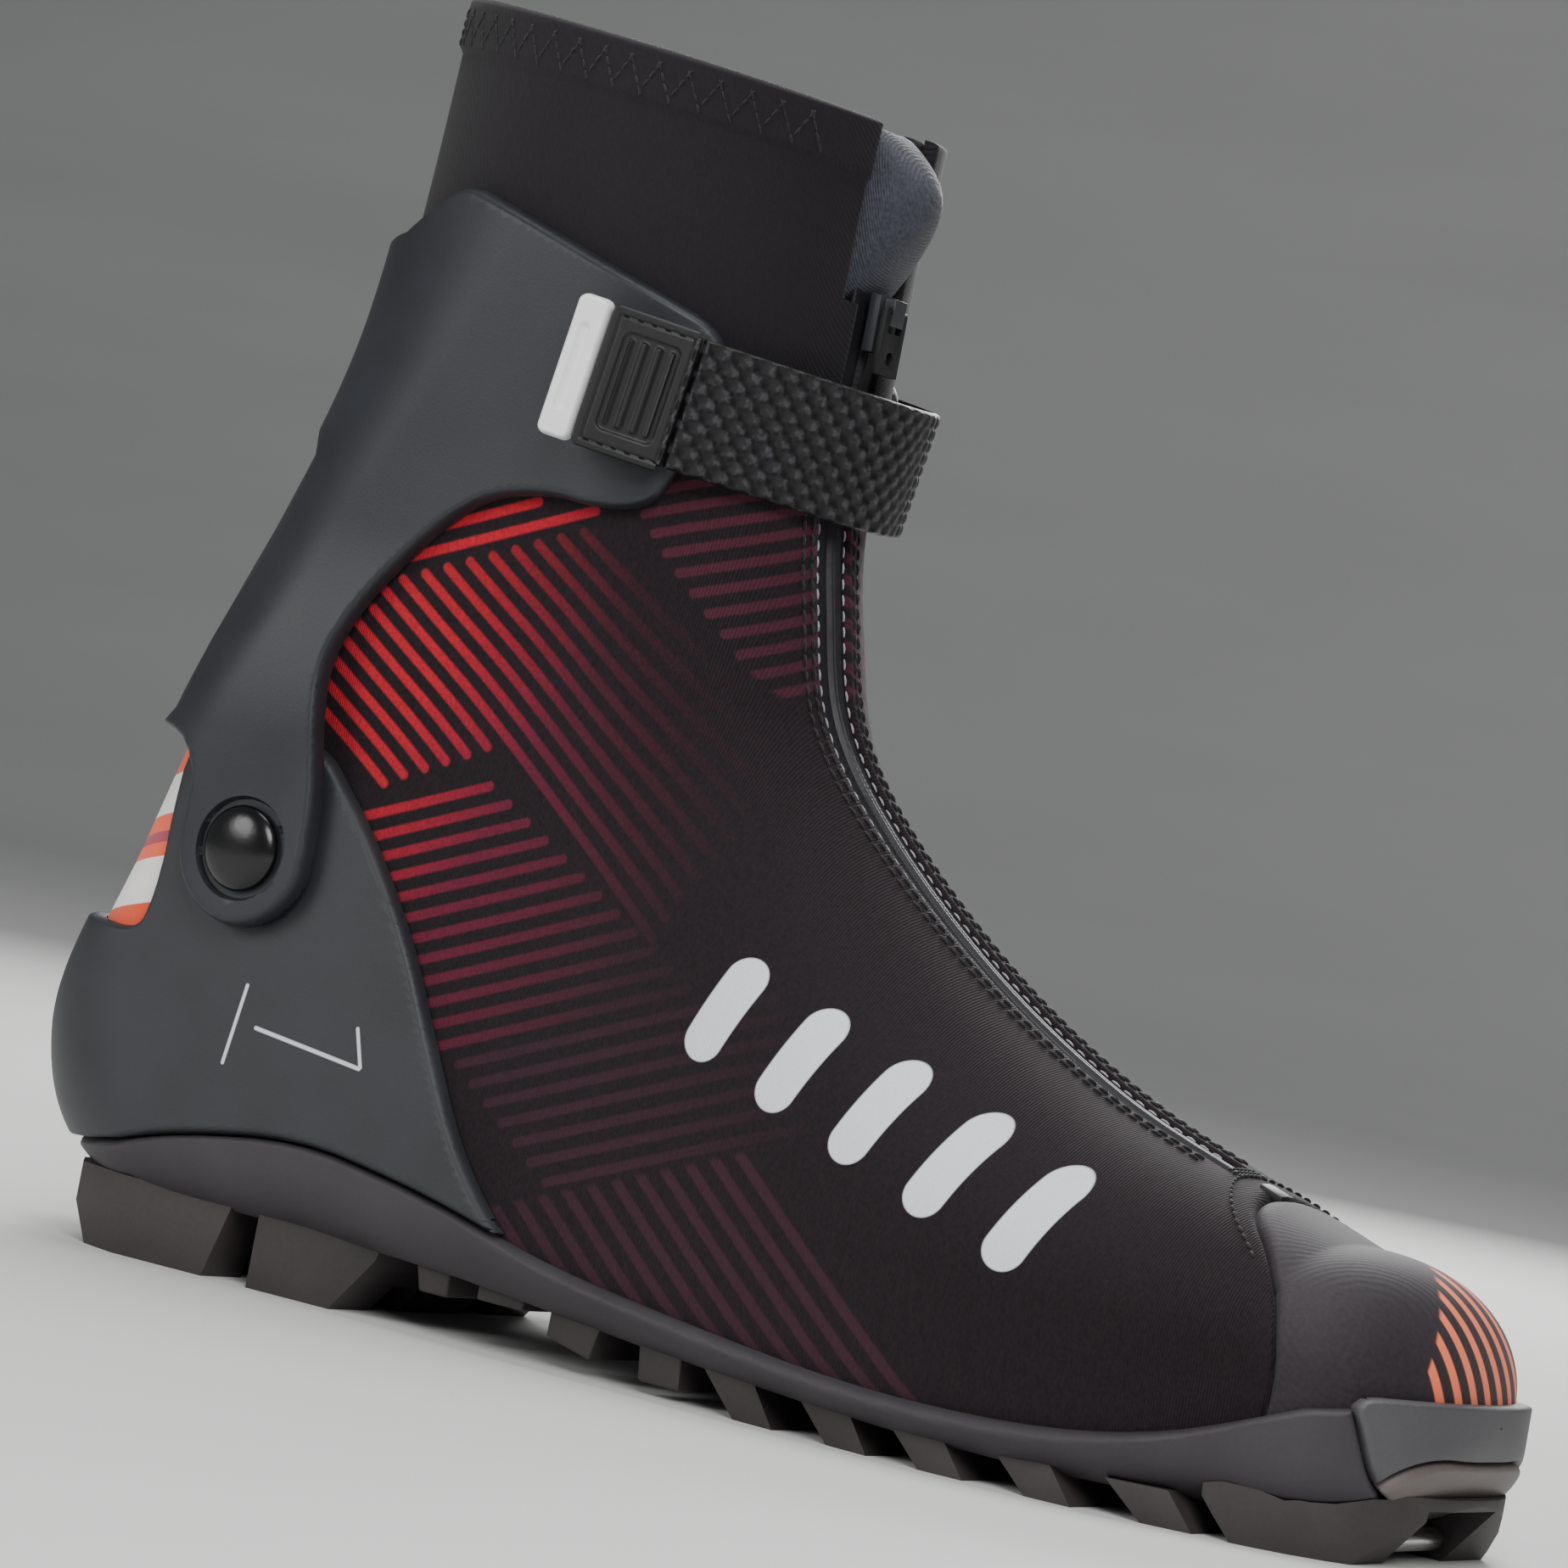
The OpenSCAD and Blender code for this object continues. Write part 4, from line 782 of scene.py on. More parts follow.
# Silicone-like moulded rubber, black or white, with a satin skin
black_rubber = moulded("black_rubber", "#0b0b0d", "#161618", 0.5, 1.6)
white_rubber = moulded("white_rubber", "#ebecee", "#f8f8f9", 0.45, 1.2)
# Die-cast zinc under black paint: a hard coat, so a clearer highlight than plastic
zinc_black = moulded("painted_zinc", "#2a2b2e", "#3a3b3f", 0.35, 1.0)
print("moulded materials ready")

# %% Brushed steel
# Rolled stainless steel, brushed along its length: a bright metal with streaked reflections
steel, tree, shader = material("brushed_stainless_steel", "#c9c6c0", 0.28, metallic=1.0)
place = rest_place(tree)
scratch = add(tree, "ShaderNodeMapping", {"Vector": place, "Scale": (4, 0.1, 4)})
scratch = add(tree, "ShaderNodeTexNoise", {"Vector": scratch, "Scale": 2.0, "Detail": 3.0})
finish_with(tree, shader, None, add(tree, "ShaderNodeMapRange", {"Value": scratch,
            "To Min": 0.2, "To Max": 0.4}), scratch, 0.02, 0.3)
print("steel nodes:", len(tree.nodes))

# %% [markdown]
# ## Rand, counter and label lines
# The rand is a band of soft rubber between upper and sole, and the counter is a stiff cup round
# the heel that carries the pivot. Both are shells over the last with a soft rim. A small overlap
# of outlines leaves no gap between them. The print on the counter is a frame of three thin lines.

# %% Rand
rand_part = both(above(SOLE_UNDER), below(RAND_TOP), outside(nose_side))
rand = shell("side_rand", rand_part, 0.0, 2.7, 0.9, rand_tpu, v1=8)
ride(rand, "boot", "tpu_charcoal", "sole_rand")
print("rand:", len(rand.data.vertices), "points")

# %% Heel counter
counter_part = both(below(COUNTER), above(RAND_TOP, 0.2), lambda t: np.where(
    t[:, V] < 10.5, 99., -9.))
counter = shell("heel_counter_shell", counter_part, 0.3, 3.2, 1.2, nylon_counter, v0=2.5, v1=10.5)
ride(counter, "boot", "shell_grey", "heel_counter")
print("counter:", len(counter.data.vertices), "points")

# %% Printed lines on the counter
# Three thin lines frame an empty label field on each side
LABEL_LINES = [((55.4, 51.9), (53.6, 37.2)), ((58.8, 44.7), (83.3, 41.8)),
               ((80.7, 48.8), (83.3, 41.8))]
LINE_WIDE = 0.7
tree = nylon_counter.node_tree
skin = tree.nodes["Principled BSDF"].inputs["Base Color"]
colour, place = skin.links[0].from_socket, rest_place(tree)
for (ax, az), (bx, bz) in LABEL_LINES:
    reach = math.hypot(bx - ax, bz - az)
    way = ((bx - ax) / reach, 0, (bz - az) / reach)
    at, begin = way[0] * az - way[2] * ax, way[0] * ax + way[2] * az
    line = printed_bars(tree, place, (-way[2], 0, way[0]), way, at, 1.0, 1, LINE_WIDE,
                        ((at, begin), (at + 1, begin)),
                        ((at, begin + reach), (at + 1, begin + reach)), 0.1)
    colour = add(tree, "ShaderNodeMix", {0: line, 6: colour, 7: paint("#d9dade")}, 2,
                 data_type="RGBA")
tree.links.new(colour, skin)
print("label lines:", len(LABEL_LINES))

# %% [markdown]
# ## Ankle cuff
# The cuff is one moulded shell that wraps the ankle from behind and reaches down to the pivots
# with two arms. Its upper face steps up along a ledge, and each arm has a round seat for the
# rivet. The arms stand off sideways, because they pass outside the counter. The steps are put
# into the height of the shell, and extra cuts on both sides of a step keep it crisp.

# %% Cuff shape
PUSH, ARM_Z, PUSH_END = 4.15, 95, 40  # how far the arms stand off, and over which height
CUFF_BACK, CUFF_LOW, LEDGE_STEP, SEAT_DEPTH, SEAT_ROUND = 0.6, 2.6, 1.4, 1.2, 9.3


def round_spot(cx, cz, r):
    """Distance inside a circle in side view"""
    return lambda t: r - np.hypot(t[:, X] - cx, t[:, Z] - cz)


def ease(t):
    """A soft step from 0 to 1"""
    c = np.clip(t, 0, 1)
    return c * c * (3 - 2 * c)


def pushed(points):
    """Move the arms sideways, out over the counter"""
    out = points.copy()
    k = np.minimum(1, np.abs(points[:, 1]) / 20)
    out[:, 1] += np.sign(points[:, 1]) * k * PUSH * (1 - ease((points[:, 2] - ARM_Z) / PUSH_END))
    return out


cuff_outline, ledge_line = curved(CUFF), curved(LEDGE)
raised = outside(inside(ledge_line))
open_front = lambda t: np.where(t[:, X] > 60, np.abs(t[:, Y]) - 17, 50.)
cuff_part = both(inside(cuff_outline), open_front)
ring_spot = round_spot(*PIVOT, SEAT_ROUND)
print("cuff outline:", len(cuff_outline), "points")


# %% Cuff
def cuff_height(t):
    """The outer face: raised above the ledge, sunk in the rivet's seat"""
    top = CUFF_LOW + LEDGE_STEP * ease((raised(t) + 0.2) / 1.6)
    return top - SEAT_DEPTH * ease((ring_spot(t) + 0.1) / 0.6)


cuff = shell("ankle_cuff_shell", cuff_part, CUFF_BACK, cuff_height, 1.4, nylon_cuff, pushed,
             [(raised, -0.2), (raised, 0.6), (raised, 1.4), (ring_spot, -0.1), (ring_spot, 0.5)],
             v0=4.5, v1=11)
ride(cuff, "cuff", "shell_grey", "cuff")
print("cuff:", len(cuff.data.vertices), "points")

# %% [markdown]
# ## Toe bumper and rivets
# The bumper is a harder rubber cap that closes the rand in front. Below it, a paler visor arches
# over the recess where the binding grips the toe bar. Both share one outline, cut in two by the
# arch. The rivets are turned parts, so a profile is turned round the pivot's axis.

# %% Toe bumper and visor
bumper = shell("toe_bumper_shell", both(nose_side, above(VISOR)), 0.0, 2.9, 0.6, bumper_tpu, v1=2)
ride(bumper, "boot", "tpu_charcoal", "toe_bumper")
visor = shell("toe_visor_moulded", both(nose_side, below(VISOR)), 0.0, 3.3, 0.7, visor_tpu, v1=2)
ride(visor, "boot", "tpu_taupe")
print("bumper and visor:", len(bumper.data.vertices), len(visor.data.vertices))

# %% Pivot rivets
def turned_piece(name, profile, centre, axis, finish, steps=64):
    """A profile of (radius, height) pairs turned round an axis"""
    a = np.linspace(0, 2 * math.pi, steps, endpoint=False)
    axis = np.array(axis, float)
    side = np.cross(axis, (0, 0, 1))
    side /= np.linalg.norm(side)
    third = np.cross(axis, side)
    points = [np.array(centre) + axis * h + r * (side * math.cos(i) + third * math.sin(i))
              for r, h in profile for i in a]
    n, m = steps, len(profile)
    faces = [[j * n + i, j * n + (i + 1) % n, (j + 1) * n + (i + 1) % n, (j + 1) * n + i]
             for j in range(m - 1) for i in range(n)]
    faces += [list(range(n))[::-1], [(m - 1) * n + i for i in range(n)]]
    return new_mesh(name, points, faces, finish)


HEAD, STEM, DOME = 7.6, 3, 2.7  # the rivet's radius, its stem's radius and the head's height
ARM_FACE = 7.5  # the rivet's seat stands this far outside the last
for side, half_width, word in ((-1, 32, "outer"), (1, 33, "inner")):
    base = half_width + ARM_FACE
    dome = [(STEM, -4), (STEM, -0.5), (HEAD - 0.4, -0.5), (HEAD, 0.1)] + [
        (HEAD * math.cos(b) ** 0.9, 0.3 + DOME * math.sin(b))
        for b in np.linspace(0.02, 1.52, 14)]
    rivet = turned_piece(word + "_pivot_rivet", dome, (PIVOT[0], side * base, PIVOT[1]),
                         (0, side, 0), gloss_black)
    ride(rivet, "boot", "black_plastic", *(["pivot_rivets"] if side < 0 else []))
print("rivets ready")

# %% [markdown]
# ## Soft finishes
# All the other cloths are black or grey, and what tells them apart is their ribs, their fuzz and
# how dull they are. One function makes them from those values, so they stay one family.

# %% Soft materials
def cloth(name, dark, light, roughness, rib, bump=0.1, kept=False, sheen=0.2):
    """Fabric or thread whose ribs or filaments are this far apart, in millimetres"""
    made, tree, shader = material(name, dark, roughness, **{"Sheen Weight": sheen,
                                  "Specular IOR Level": 0.3})
    place = rest_place(tree, kept)
    height, fuzz = knit_height(tree, place, rib, 0.3)
    colour = add(tree, "ShaderNodeValToRGB", {"Fac": fuzz}, stops=[(0.3, dark), (0.7, light)])
    finish_with(tree, shader, colour, None, height, bump, 0.6)
    return made


# Dull stretch fabric, almost black, whose fuzz hides any highlight
softshell = cloth("black_softshell", "#0c080c", "#160f16", 0.75, 0.35, sheen=0.1)
# Plain woven nylon over foam: bluish grey, with a soft highlight where it is taut
pad_fabric = cloth("woven_pad_fabric", "#26282f", "#3f424d", 0.65, 0.45, 0.2)
# Brushed knit that takes the wear inside the boot, dull and dark
lining_knit = cloth("lining_knit", "#1c1b1f", "#2a292e", 0.85, 0.6, 0.2)
# Tape coated with a thin film, smoother and shinier than the fabric beside it
tape_film = cloth("coated_zip_tape", "#17161a", "#242328", 0.42, 0.4, 0.03, sheen=0.0)
# Twisted polyester thread, black on the seams and grey beside the zip
thread_dark = cloth("polyester_thread_black", "#0c0b0d", "#1a191c", 0.6, 0.25)
thread_pale = cloth("polyester_thread_grey", "#8d8a8f", "#b5b2b6", 0.6, 0.25)
print("soft materials ready")

# %% [markdown]
# ## Collar
# The collar is a sleeve of plain softshell round the shin, open at the front, where the tongue's
# pad swells out. It could be a swept tube, but cut from the last it meets the upper and the cuff
# exactly. Over the top 9 mm it stands a little higher, because there it is folded double.

# %% Collar
FOLD = 9.0  # how deep the folded hem is
collar_top = inside([[-200, 264.5], [330, 192.2], [330, -400], [-200, -400]])
throat = lambda t: np.where((t[:, V] > 9.3) & (t[:, BACK] < 0.5), 9.2 - np.abs(t[:, Y]), -9.)
slot_above = lambda t: np.where((t[:, V] > 6) & (t[:, BACK] < 0.5), 5.2 - np.abs(t[:, Y]), -9.)
collar_part = both(collar_top, above(SHAFT_SEAM, -7), outside(throat), outside(slot_above))


def collar_height(t):
    """The outer face, higher where the hem is folded"""
    return -0.25 + 0.75 * (1 - ease((collar_top(t) - FOLD) / 1.2))


collar = shell("collar_fabric", collar_part, -FABRIC, collar_height, 1.0, softshell,
               seams=[(collar_top, FOLD), (collar_top, FOLD + 1.2)], v0=6, v1=12)
ride(collar, "cuff", "black_softshell", "collar_sleeve")
print("collar:", len(collar.data.vertices), "points")

# %% [markdown]
# ## Lining and tongue
# A foam lining with a knitted face runs from the collar down into the foot, and the tongue closes
# the gap under the zip.

# %% Lining and tongue
liner_part = both(collar_top, lambda t: (t[:, V] - 0.8) * 30, outside(lambda t: np.where(
    (t[:, V] > 1.3) & (t[:, BACK] < 0.5), 10.8 - np.abs(t[:, Y]), -9.)))
liner = shell("lining_foam", liner_part, -FABRIC - 4.3, -FABRIC - 0.1, 1.8, lining_knit)
over_ankle(liner, "lining", "foot_liner", "collar_foam", "collar_hem")
tongue_part = both(lambda t: np.where(t[:, BACK] < 0.5, 10.4 - np.abs(t[:, Y]), -9.),
                   lambda t: (t[:, V] - 1.6) * 20, lambda t: (9.6 - t[:, V]) * 15)
tongue = shell("tongue_sheet", tongue_part, -6.0, -4.7, 0.6, lining_knit)
over_ankle(tongue, "lining", "tongue")
print("lining and tongue:", len(liner.data.vertices), len(tongue.data.vertices))

# %% [markdown]
# ## Tongue pad
# The tongue ends in a foam pad covered in woven cloth. It could be modelled by hand, but a
# pressure simulation makes its face taut and slightly uneven, as a filled cover is. The CAD solid
# is remeshed evenly, blown up as cloth, and no point may move further than a small cap.

# %% Copies of CAD solids
def carry_rest(obj):
    """Store each point's drawn place, in millimetres, for the patterns"""
    co = np.empty(len(obj.data.vertices) * 3, np.float32)
    obj.data.vertices.foreach_get("co", co)
    where = obj.data.attributes.get("rest") or obj.data.attributes.new("rest", "FLOAT_VECTOR",
                                                                        "POINT")
    where.data.foreach_set("vector", ((co.reshape(-1, 3) * 1000) + (MID, 0, 0)).ravel())
    return obj


def copied(node, name, finish):
    """A new object with its own copy of a CAD node's mesh"""
    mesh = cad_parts[node].data.copy()
    mesh.materials.clear()
    mesh.materials.append(finish)
    obj = bpy.data.objects.new(name, mesh)
    bpy.context.scene.collection.objects.link(obj)
    return obj


def applied(obj):
    """Replace the mesh by what its modifiers make of it"""
    graph = bpy.context.evaluated_depsgraph_get()
    mesh = bpy.data.meshes.new_from_object(obj.evaluated_get(graph))
    obj.modifiers.clear()
    obj.data = mesh
    return obj


print("pad's CAD solid:", len(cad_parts["tongue_pad"].data.vertices), "points")

# %% Pad as cloth
VOXEL, PRESSURE, STEPS, CAP, FILL = 0.0022, 4, 20, 0.0016, 0.7  # metres where a length
pad = copied("tongue_pad", "tongue_pad_cushion", pad_fabric)
remesh = pad.modifiers.new("remesh", "REMESH")
remesh.mode, remesh.voxel_size = "VOXEL", VOXEL
applied(pad)
start = np.array([v.co for v in pad.data.vertices])
scene = bpy.context.scene
puff = pad.modifiers.new("cloth", "CLOTH")
puff.settings.use_pressure = True
puff.settings.uniform_pressure_force = PRESSURE
puff.settings.effector_weights.gravity = 0
for step in range(1, STEPS + 1):
    scene.frame_set(step)
applied(pad)
scene.frame_set(1)
puffed = np.array([v.co for v in pad.data.vertices])
shift = puffed - start
far = np.linalg.norm(shift, axis=1, keepdims=True)
puffed = start + shift * np.minimum(1, CAP / np.maximum(far, 1e-9))
pad.data.vertices.foreach_set("co", puffed.ravel())
print("pad moved by up to", round(1000 * float(far.max()), 2), "mm before the cap")
relax = pad.modifiers.new("smooth", "SMOOTH")
relax.factor, relax.iterations = 0.5, 4
pad.modifiers.new("subdivision", "SUBSURF").levels = 1
applied(pad)
pad.data.polygons.foreach_set("use_smooth", [True] * len(pad.data.polygons))
carry_rest(pad)
ride(pad, "cuff", "pad_fabric", "tongue_pad")
print("pad:", len(pad.data.vertices), "points")

# %% [markdown]
# ## Zip
# The zip is covered: a smooth coated tape with a raised middle line closes the slot. The tape is
# another sheet over the last, a narrow strip along the front, whose height rises over the teeth.
# Separate teeth would not be seen, because the tape hides them.

# %% Zip
zip_part = both(lambda t: np.where(t[:, BACK] < 0.5, 6.4 - np.abs(t[:, Y]), -9.),
                lambda t: (t[:, V] - 1.1) * 20, lambda t: (9.45 - t[:, V]) * 15)
middle_line = lambda t: 1.3 - np.abs(t[:, Y])
zip_tape = shell("covered_zip", zip_part, -1.95, lambda t: -1.0 + 0.75 * ease(
    (middle_line(t) + 0.1) / 0.7) - 0.3 * ease((middle_line(t) - 1.0) / 0.3), 0.5, tape_film,
    seams=[(middle_line, -0.1), (middle_line, 0.3), (middle_line, 0.6), (middle_line, 1.0)])
over_ankle(zip_tape, "tape", "zip_tape_lower", "zip_teeth_lower", "zip_tape_upper",
           "zip_teeth_upper")
print("zip:", len(zip_tape.data.vertices), "points")

# %% [markdown]
# ## Stitching
# The fabric's turned edges are held by rows of topstitch, the toe panel by a seam and the hem by
# a zigzag. A stitch is a short rounded length of thread, so each is a small capsule laid along
# the seam. A bump pattern would be lighter, but real thread catches the light along its side.

# %% Lines on the last
def line_along_front(y, v0, v1):
    """Points and normals where the front of the last is at this Y"""
    found = []
    side = slice(0, COLS // 4) if y < 0 else slice(COLS - 1, COLS - COLS // 4, -1)
    for j, v in enumerate(columns_v):
        if v0 <= v <= v1:
            row = LAST[j, side]
            found.append([np.interp(abs(y), np.abs(row[:, 1]), row[:, c]) for c in range(6)])
    return np.array(found)


def line_round(part, level=0.0, v0=-2, v1=11):
    """Points and normals where the distance is at this level, column by column"""
    found = []
    rows = [j for j, v in enumerate(columns_v) if v0 <= v <= v1]
    flat = LAST[rows].reshape(-1, LAST.shape[2])
    value = part(flat).reshape(len(rows), COLS) - level
    for i in range(COLS):
        hit = np.nonzero((value[:-1, i] > 0) != (value[1:, i] > 0))[0]
        if len(hit):
            j = hit[0]
            f = value[j, i] / (value[j, i] - value[j + 1, i])
            found.append((1 - f) * LAST[rows[j], i] + f * LAST[rows[j + 1], i])
    return np.array(found)[:, :6]


print("front line:", len(line_along_front(-5, 1.2, 8.6)), "points")


# %% Thread
def stitches(name, lines, pitch, length, radius, finish, lift=0.1):
    """Capsules of thread along lines of (x, y, z, normal)"""
    points, faces = [], []
    for line in lines:
        steps = np.linalg.norm(np.diff(line[:, :3], axis=0), axis=1)
        d = np.concatenate([[0], np.cumsum(steps)])
        for at in np.arange(pitch, d[-1] - pitch, pitch):
            ends = [np.array([np.interp(e, d, line[:, c]) for c in range(6)])
                    for e in (at - length / 2, at + length / 2)]
            a, b = (e[:3] + e[3:] * lift for e in ends)
            if np.linalg.norm(b - a) > 2 * length:
                continue
            way = (b - a) / np.linalg.norm(b - a)
            n = ends[0][3:] / np.linalg.norm(ends[0][3:])
            s = np.cross(way, n)
            first = len(points)
            for f, r in ((0, 0.35), (0.12, 0.85), (0.5, 1.1), (0.88, 0.85), (1, 0.35)):
                c = a + (b - a) * f + n * radius * 0.5 * math.sin(math.pi * f)
                points += [c + radius * r * (n * math.cos(g) + s * math.sin(g))
                           for g in np.linspace(0, 2 * math.pi, 6, endpoint=False)]
            faces += [[first + 6 * j + i, first + 6 * j + (i + 1) % 6,
                       first + 6 * j + 6 + (i + 1) % 6, first + 6 * j + 6 + i]
                      for j in range(4) for i in range(6)]
            faces += [[first + i for i in range(5, -1, -1)], [first + 24 + i for i in range(6)]]
    return new_mesh(name, points, faces, finish, smooth=80)


print("a stitch has", 5 * 6, "points")

# %% Seams
zip_seam = stitches("zip_topstitch", [line_along_front(y, 1.2, 8.6) for y in
                    (-7.4, -9.6, 7.4, 9.6)], 2.6, 2.0, 0.28, thread_dark, 0.12)
over_ankle(zip_seam, "cord")
pale_seam = stitches("zip_edge_stitch", [line_along_front(y, 1.3, 7.6) for y in (-4.6, 4.6)],
                     2.8, 1.9, 0.2, thread_pale, -0.78)
over_ankle(pale_seam, "cord")
toe_line = line_round(toe_side, -1.6, 0.2, 3)
toe_line = toe_line[np.argsort(toe_line[:, 1])]
toe_seam = stitches("toe_seam_stitch", [toe_line], 2.2, 1.6, 0.26, thread_dark, 0.12)
ride(toe_seam, "boot", "cord")
tack = stitches("zip_bar_tack", [np.array([line_along_front(y, 1.05, 1.3)[k] for y in
                np.linspace(-6, 6, 13)]) for k in range(3)], 1.5, 1.3, 0.25, thread_dark, 0.2)
ride(tack, "boot", "cord")
print("seam points:", sum(len(o.data.vertices) for o in (zip_seam, pale_seam, toe_seam, tack)))


# %% Zigzag of the hem
def zigzag(low, high, pitch):
    """Corners of a zigzag between two depths under the collar's edge"""
    lines = [line_round(collar_top, level, 8, 12) for level in (low, high)]
    lines = [p[p[:, 0] < 128] if len(p) else p for p in lines]
    out = []
    d = np.concatenate([[0], np.cumsum(np.linalg.norm(np.diff(lines[0][:, :3], axis=0), axis=1))])
    e = np.linspace(0, 1, len(lines[1]))
    f = np.linspace(0, 1, len(lines[0]))
    for k, at in enumerate(np.arange(0, d[-1], pitch / 2)):
        t = np.interp(at, d, f)
        source, g = (lines[0], f) if k % 2 else (lines[1], e)
        out.append([np.interp(t, g, source[:, c]) for c in range(6)])
    return np.array(out)


corners = zigzag(3.0, 8.2, 5.5)
runs = [np.array([a + (b - a) * f for f in np.linspace(-0.32, 1.32, 6)])
        for a, b in zip(corners[:-1], corners[1:]) if np.linalg.norm(a[:3] - b[:3]) < 14]
zig = stitches("collar_zigzag", runs, 1.95, 1.75, 0.22, thread_dark, 0.55)
ride(zig, "cuff", "cord")
print("zigzag runs:", len(runs))

# %% [markdown]
# ## Strap
# One wide strap of coarse woven webbing runs round the front of the cuff. It is drawn as a path
# seen along its width, tilted by 9 degrees. A flat strap with a bump pattern would do from afar,
# but webbing this coarse shows its relief along its edges, so each crossing of warp and weft,
# 2.2 mm apart, is real height in the mesh.

# %% Strap paths
STRAP_AT, STRAP_TILT = (110, 165.5), math.radians(9)
ANCHOR_PATH = [[86, 44], [91, 44.2], [96.9, 44]]
STRAP_PATH = [[97.1, 44], [104, 43.6], [113, 41.4], [124, 35.5], [133.4, 25], [139.2, 13],
              [141.2, 3], [139.8, -6], [134.5, -16.5], [128, -26.8], [120.9, -36.9]]
TAIL_PATH = [[120.7, -37.2], [115, -40.8], [110, -43.1], [106.6, -44.3]]
STRAP_HALF, STRAP_UNDER = 11.5, -0.8  # half its width, and its inner face from the path
print("strap tilt:", round(math.degrees(STRAP_TILT)), "degrees")



def ribbon_sheet(path, half, step=0.4, before=0.0, beyond=0.0):
    """A flat table of points along a path and across its width, with normals outwards"""
    p = np.array(path, float)
    a, b = p[0] - p[1], p[-1] - p[-2]
    p = np.vstack([p[0] + a / np.linalg.norm(a) * before, p,
                   p[-1] + b / np.linalg.norm(b) * beyond])
    p = curved(p, False, 3)
    d = np.concatenate([[0], np.cumsum(np.linalg.norm(np.diff(p, axis=0), axis=1))])
    s = np.linspace(0, d[-1], int(d[-1] / step) + 2)
    xy = np.column_stack([np.interp(s, d, p[:, i]) for i in (0, 1)])
    way = np.gradient(xy, axis=0)
    way /= np.linalg.norm(way, axis=1, keepdims=True)
    out = np.column_stack([-way[:, 1], way[:, 0]])
    w = np.linspace(-half, half, int(2 * half / step) + 2)
    c, t = math.cos(STRAP_TILT), math.sin(STRAP_TILT)
    table = np.zeros((len(s), len(w), 9))
    dx = xy[:, 0] - STRAP_AT[0]
    table[..., 0] = STRAP_AT[0] + dx[:, None] * c + w[None] * t
    table[..., 1] = xy[:, 1][:, None]
    table[..., 2] = STRAP_AT[1] - dx[:, None] * t + w[None] * c
    table[..., 3], table[..., 4] = (out[:, 0] * c)[:, None], out[:, 1][:, None]
    table[..., 5] = (-out[:, 0] * t)[:, None]
    table[..., 6], table[..., 7] = s[:, None], w[None]
    n, m = len(s), len(w)
    j, i = np.meshgrid(np.arange(n - 1), np.arange(m - 1), indexing="ij")
    a = (j * m + i).ravel()
    faces = np.vstack([np.column_stack([a, a + 1, a + m + 1]),
                       np.column_stack([a, a + m + 1, a + m])])
    return table.reshape(-1, 9), faces, d[-1]


def panel(length, half, corner, s0=0.0):
    """Distance inside a rounded rectangle on the ribbon"""
    def distance(t):
        x = np.abs(t[:, 6] - s0 - length / 2) - (length / 2 - corner)
        y = np.abs(t[:, 7]) - (half - corner)
        out = np.hypot(np.maximum(x, 0), np.maximum(y, 0))
        return corner - out - np.minimum(np.maximum(x, y), 0)
    return distance


print("panel middle:", panel(10, 4, 1)(np.array([[0, 0, 0, 0, 0, 0, 5.0, 0]])))


# %% Strap pieces
def strap_piece(name, path, half, corner, base, height, rim, finish, step=0.4, before=0.0,
                beyond=0.0, smooth=60):
    """A rounded rectangle of the ribbon with its own height and rim"""
    table, faces, length = ribbon_sheet(path, half, step, before, beyond)
    part = panel(length, half, corner)
    table, faces = split(table, faces, part(table) - 0.02, True)
    for level in [rim * f for f in RIM]:
        table, faces = split(table, faces, part(table) - level - 0.02)
    used, back_to = np.unique(faces, return_inverse=True)
    return closed(name, table[used], back_to.reshape(-1, 3), lambda t: part(t) - 0.02, base,
                  height, rim, finish, smooth=smooth)


print("strap width:", 2 * STRAP_HALF)

# %% Webbing
WEAVE = 2.2  # one crossing of the coarse threads


def weave(s, w):
    """Warp and weft crossing, from -1 to 1"""
    return np.sin(math.pi * s / WEAVE) * np.sin(math.pi * w / WEAVE)


def webbing_height(t):
    """The outer face with its relief, calmer where the strap bends round the front"""
    bump = np.sign(weave(t[:, 6], t[:, 7])) * np.abs(weave(t[:, 6], t[:, 7])) ** 0.6
    fine = np.clip((t[:, 6] - 52) / 6, 0, 1) * np.clip((66 - t[:, 6]) / 6, 0, 1)
    return 0.6 + 0.3 * bump * (1 - 0.5 * fine)


# Polyester filaments lie side by side; the colour carries a painted highlight on the top of
# each thread and painted shade in the gaps
webbing, tree, shader = material("woven_polyester_webbing", "#111113", 0.5, **{
    "Specular IOR Level": 0.45})
place = rest_place(tree)
fuzz = add(tree, "ShaderNodeTexNoise", {"Vector": place, "Scale": 1.1, "Detail": 3.0})
along = add(tree, "ShaderNodeAttribute", attribute_name="around", out=2)
over = add(tree, "ShaderNodeVectorMath", {0: place, 1: (math.sin(STRAP_TILT), 0,
           math.cos(STRAP_TILT))}, 1, operation="DOT_PRODUCT")
over = add(tree, "ShaderNodeMath", {0: over, 1: STRAP_AT[0] * math.sin(STRAP_TILT)
           + STRAP_AT[1] * math.cos(STRAP_TILT)}, operation="SUBTRACT")
waves = []
for run in (along, over):
    turn = add(tree, "ShaderNodeMath", {0: run, 1: math.pi / WEAVE}, operation="MULTIPLY")
    waves.append(add(tree, "ShaderNodeMath", {0: turn}, operation="SINE"))
crossing = add(tree, "ShaderNodeMath", {0: waves[0], 1: waves[1]}, operation="MULTIPLY")
thread = add(tree, "ShaderNodeMath", {0: crossing, 1: 0.35, 2: fuzz}, operation="MULTIPLY_ADD")
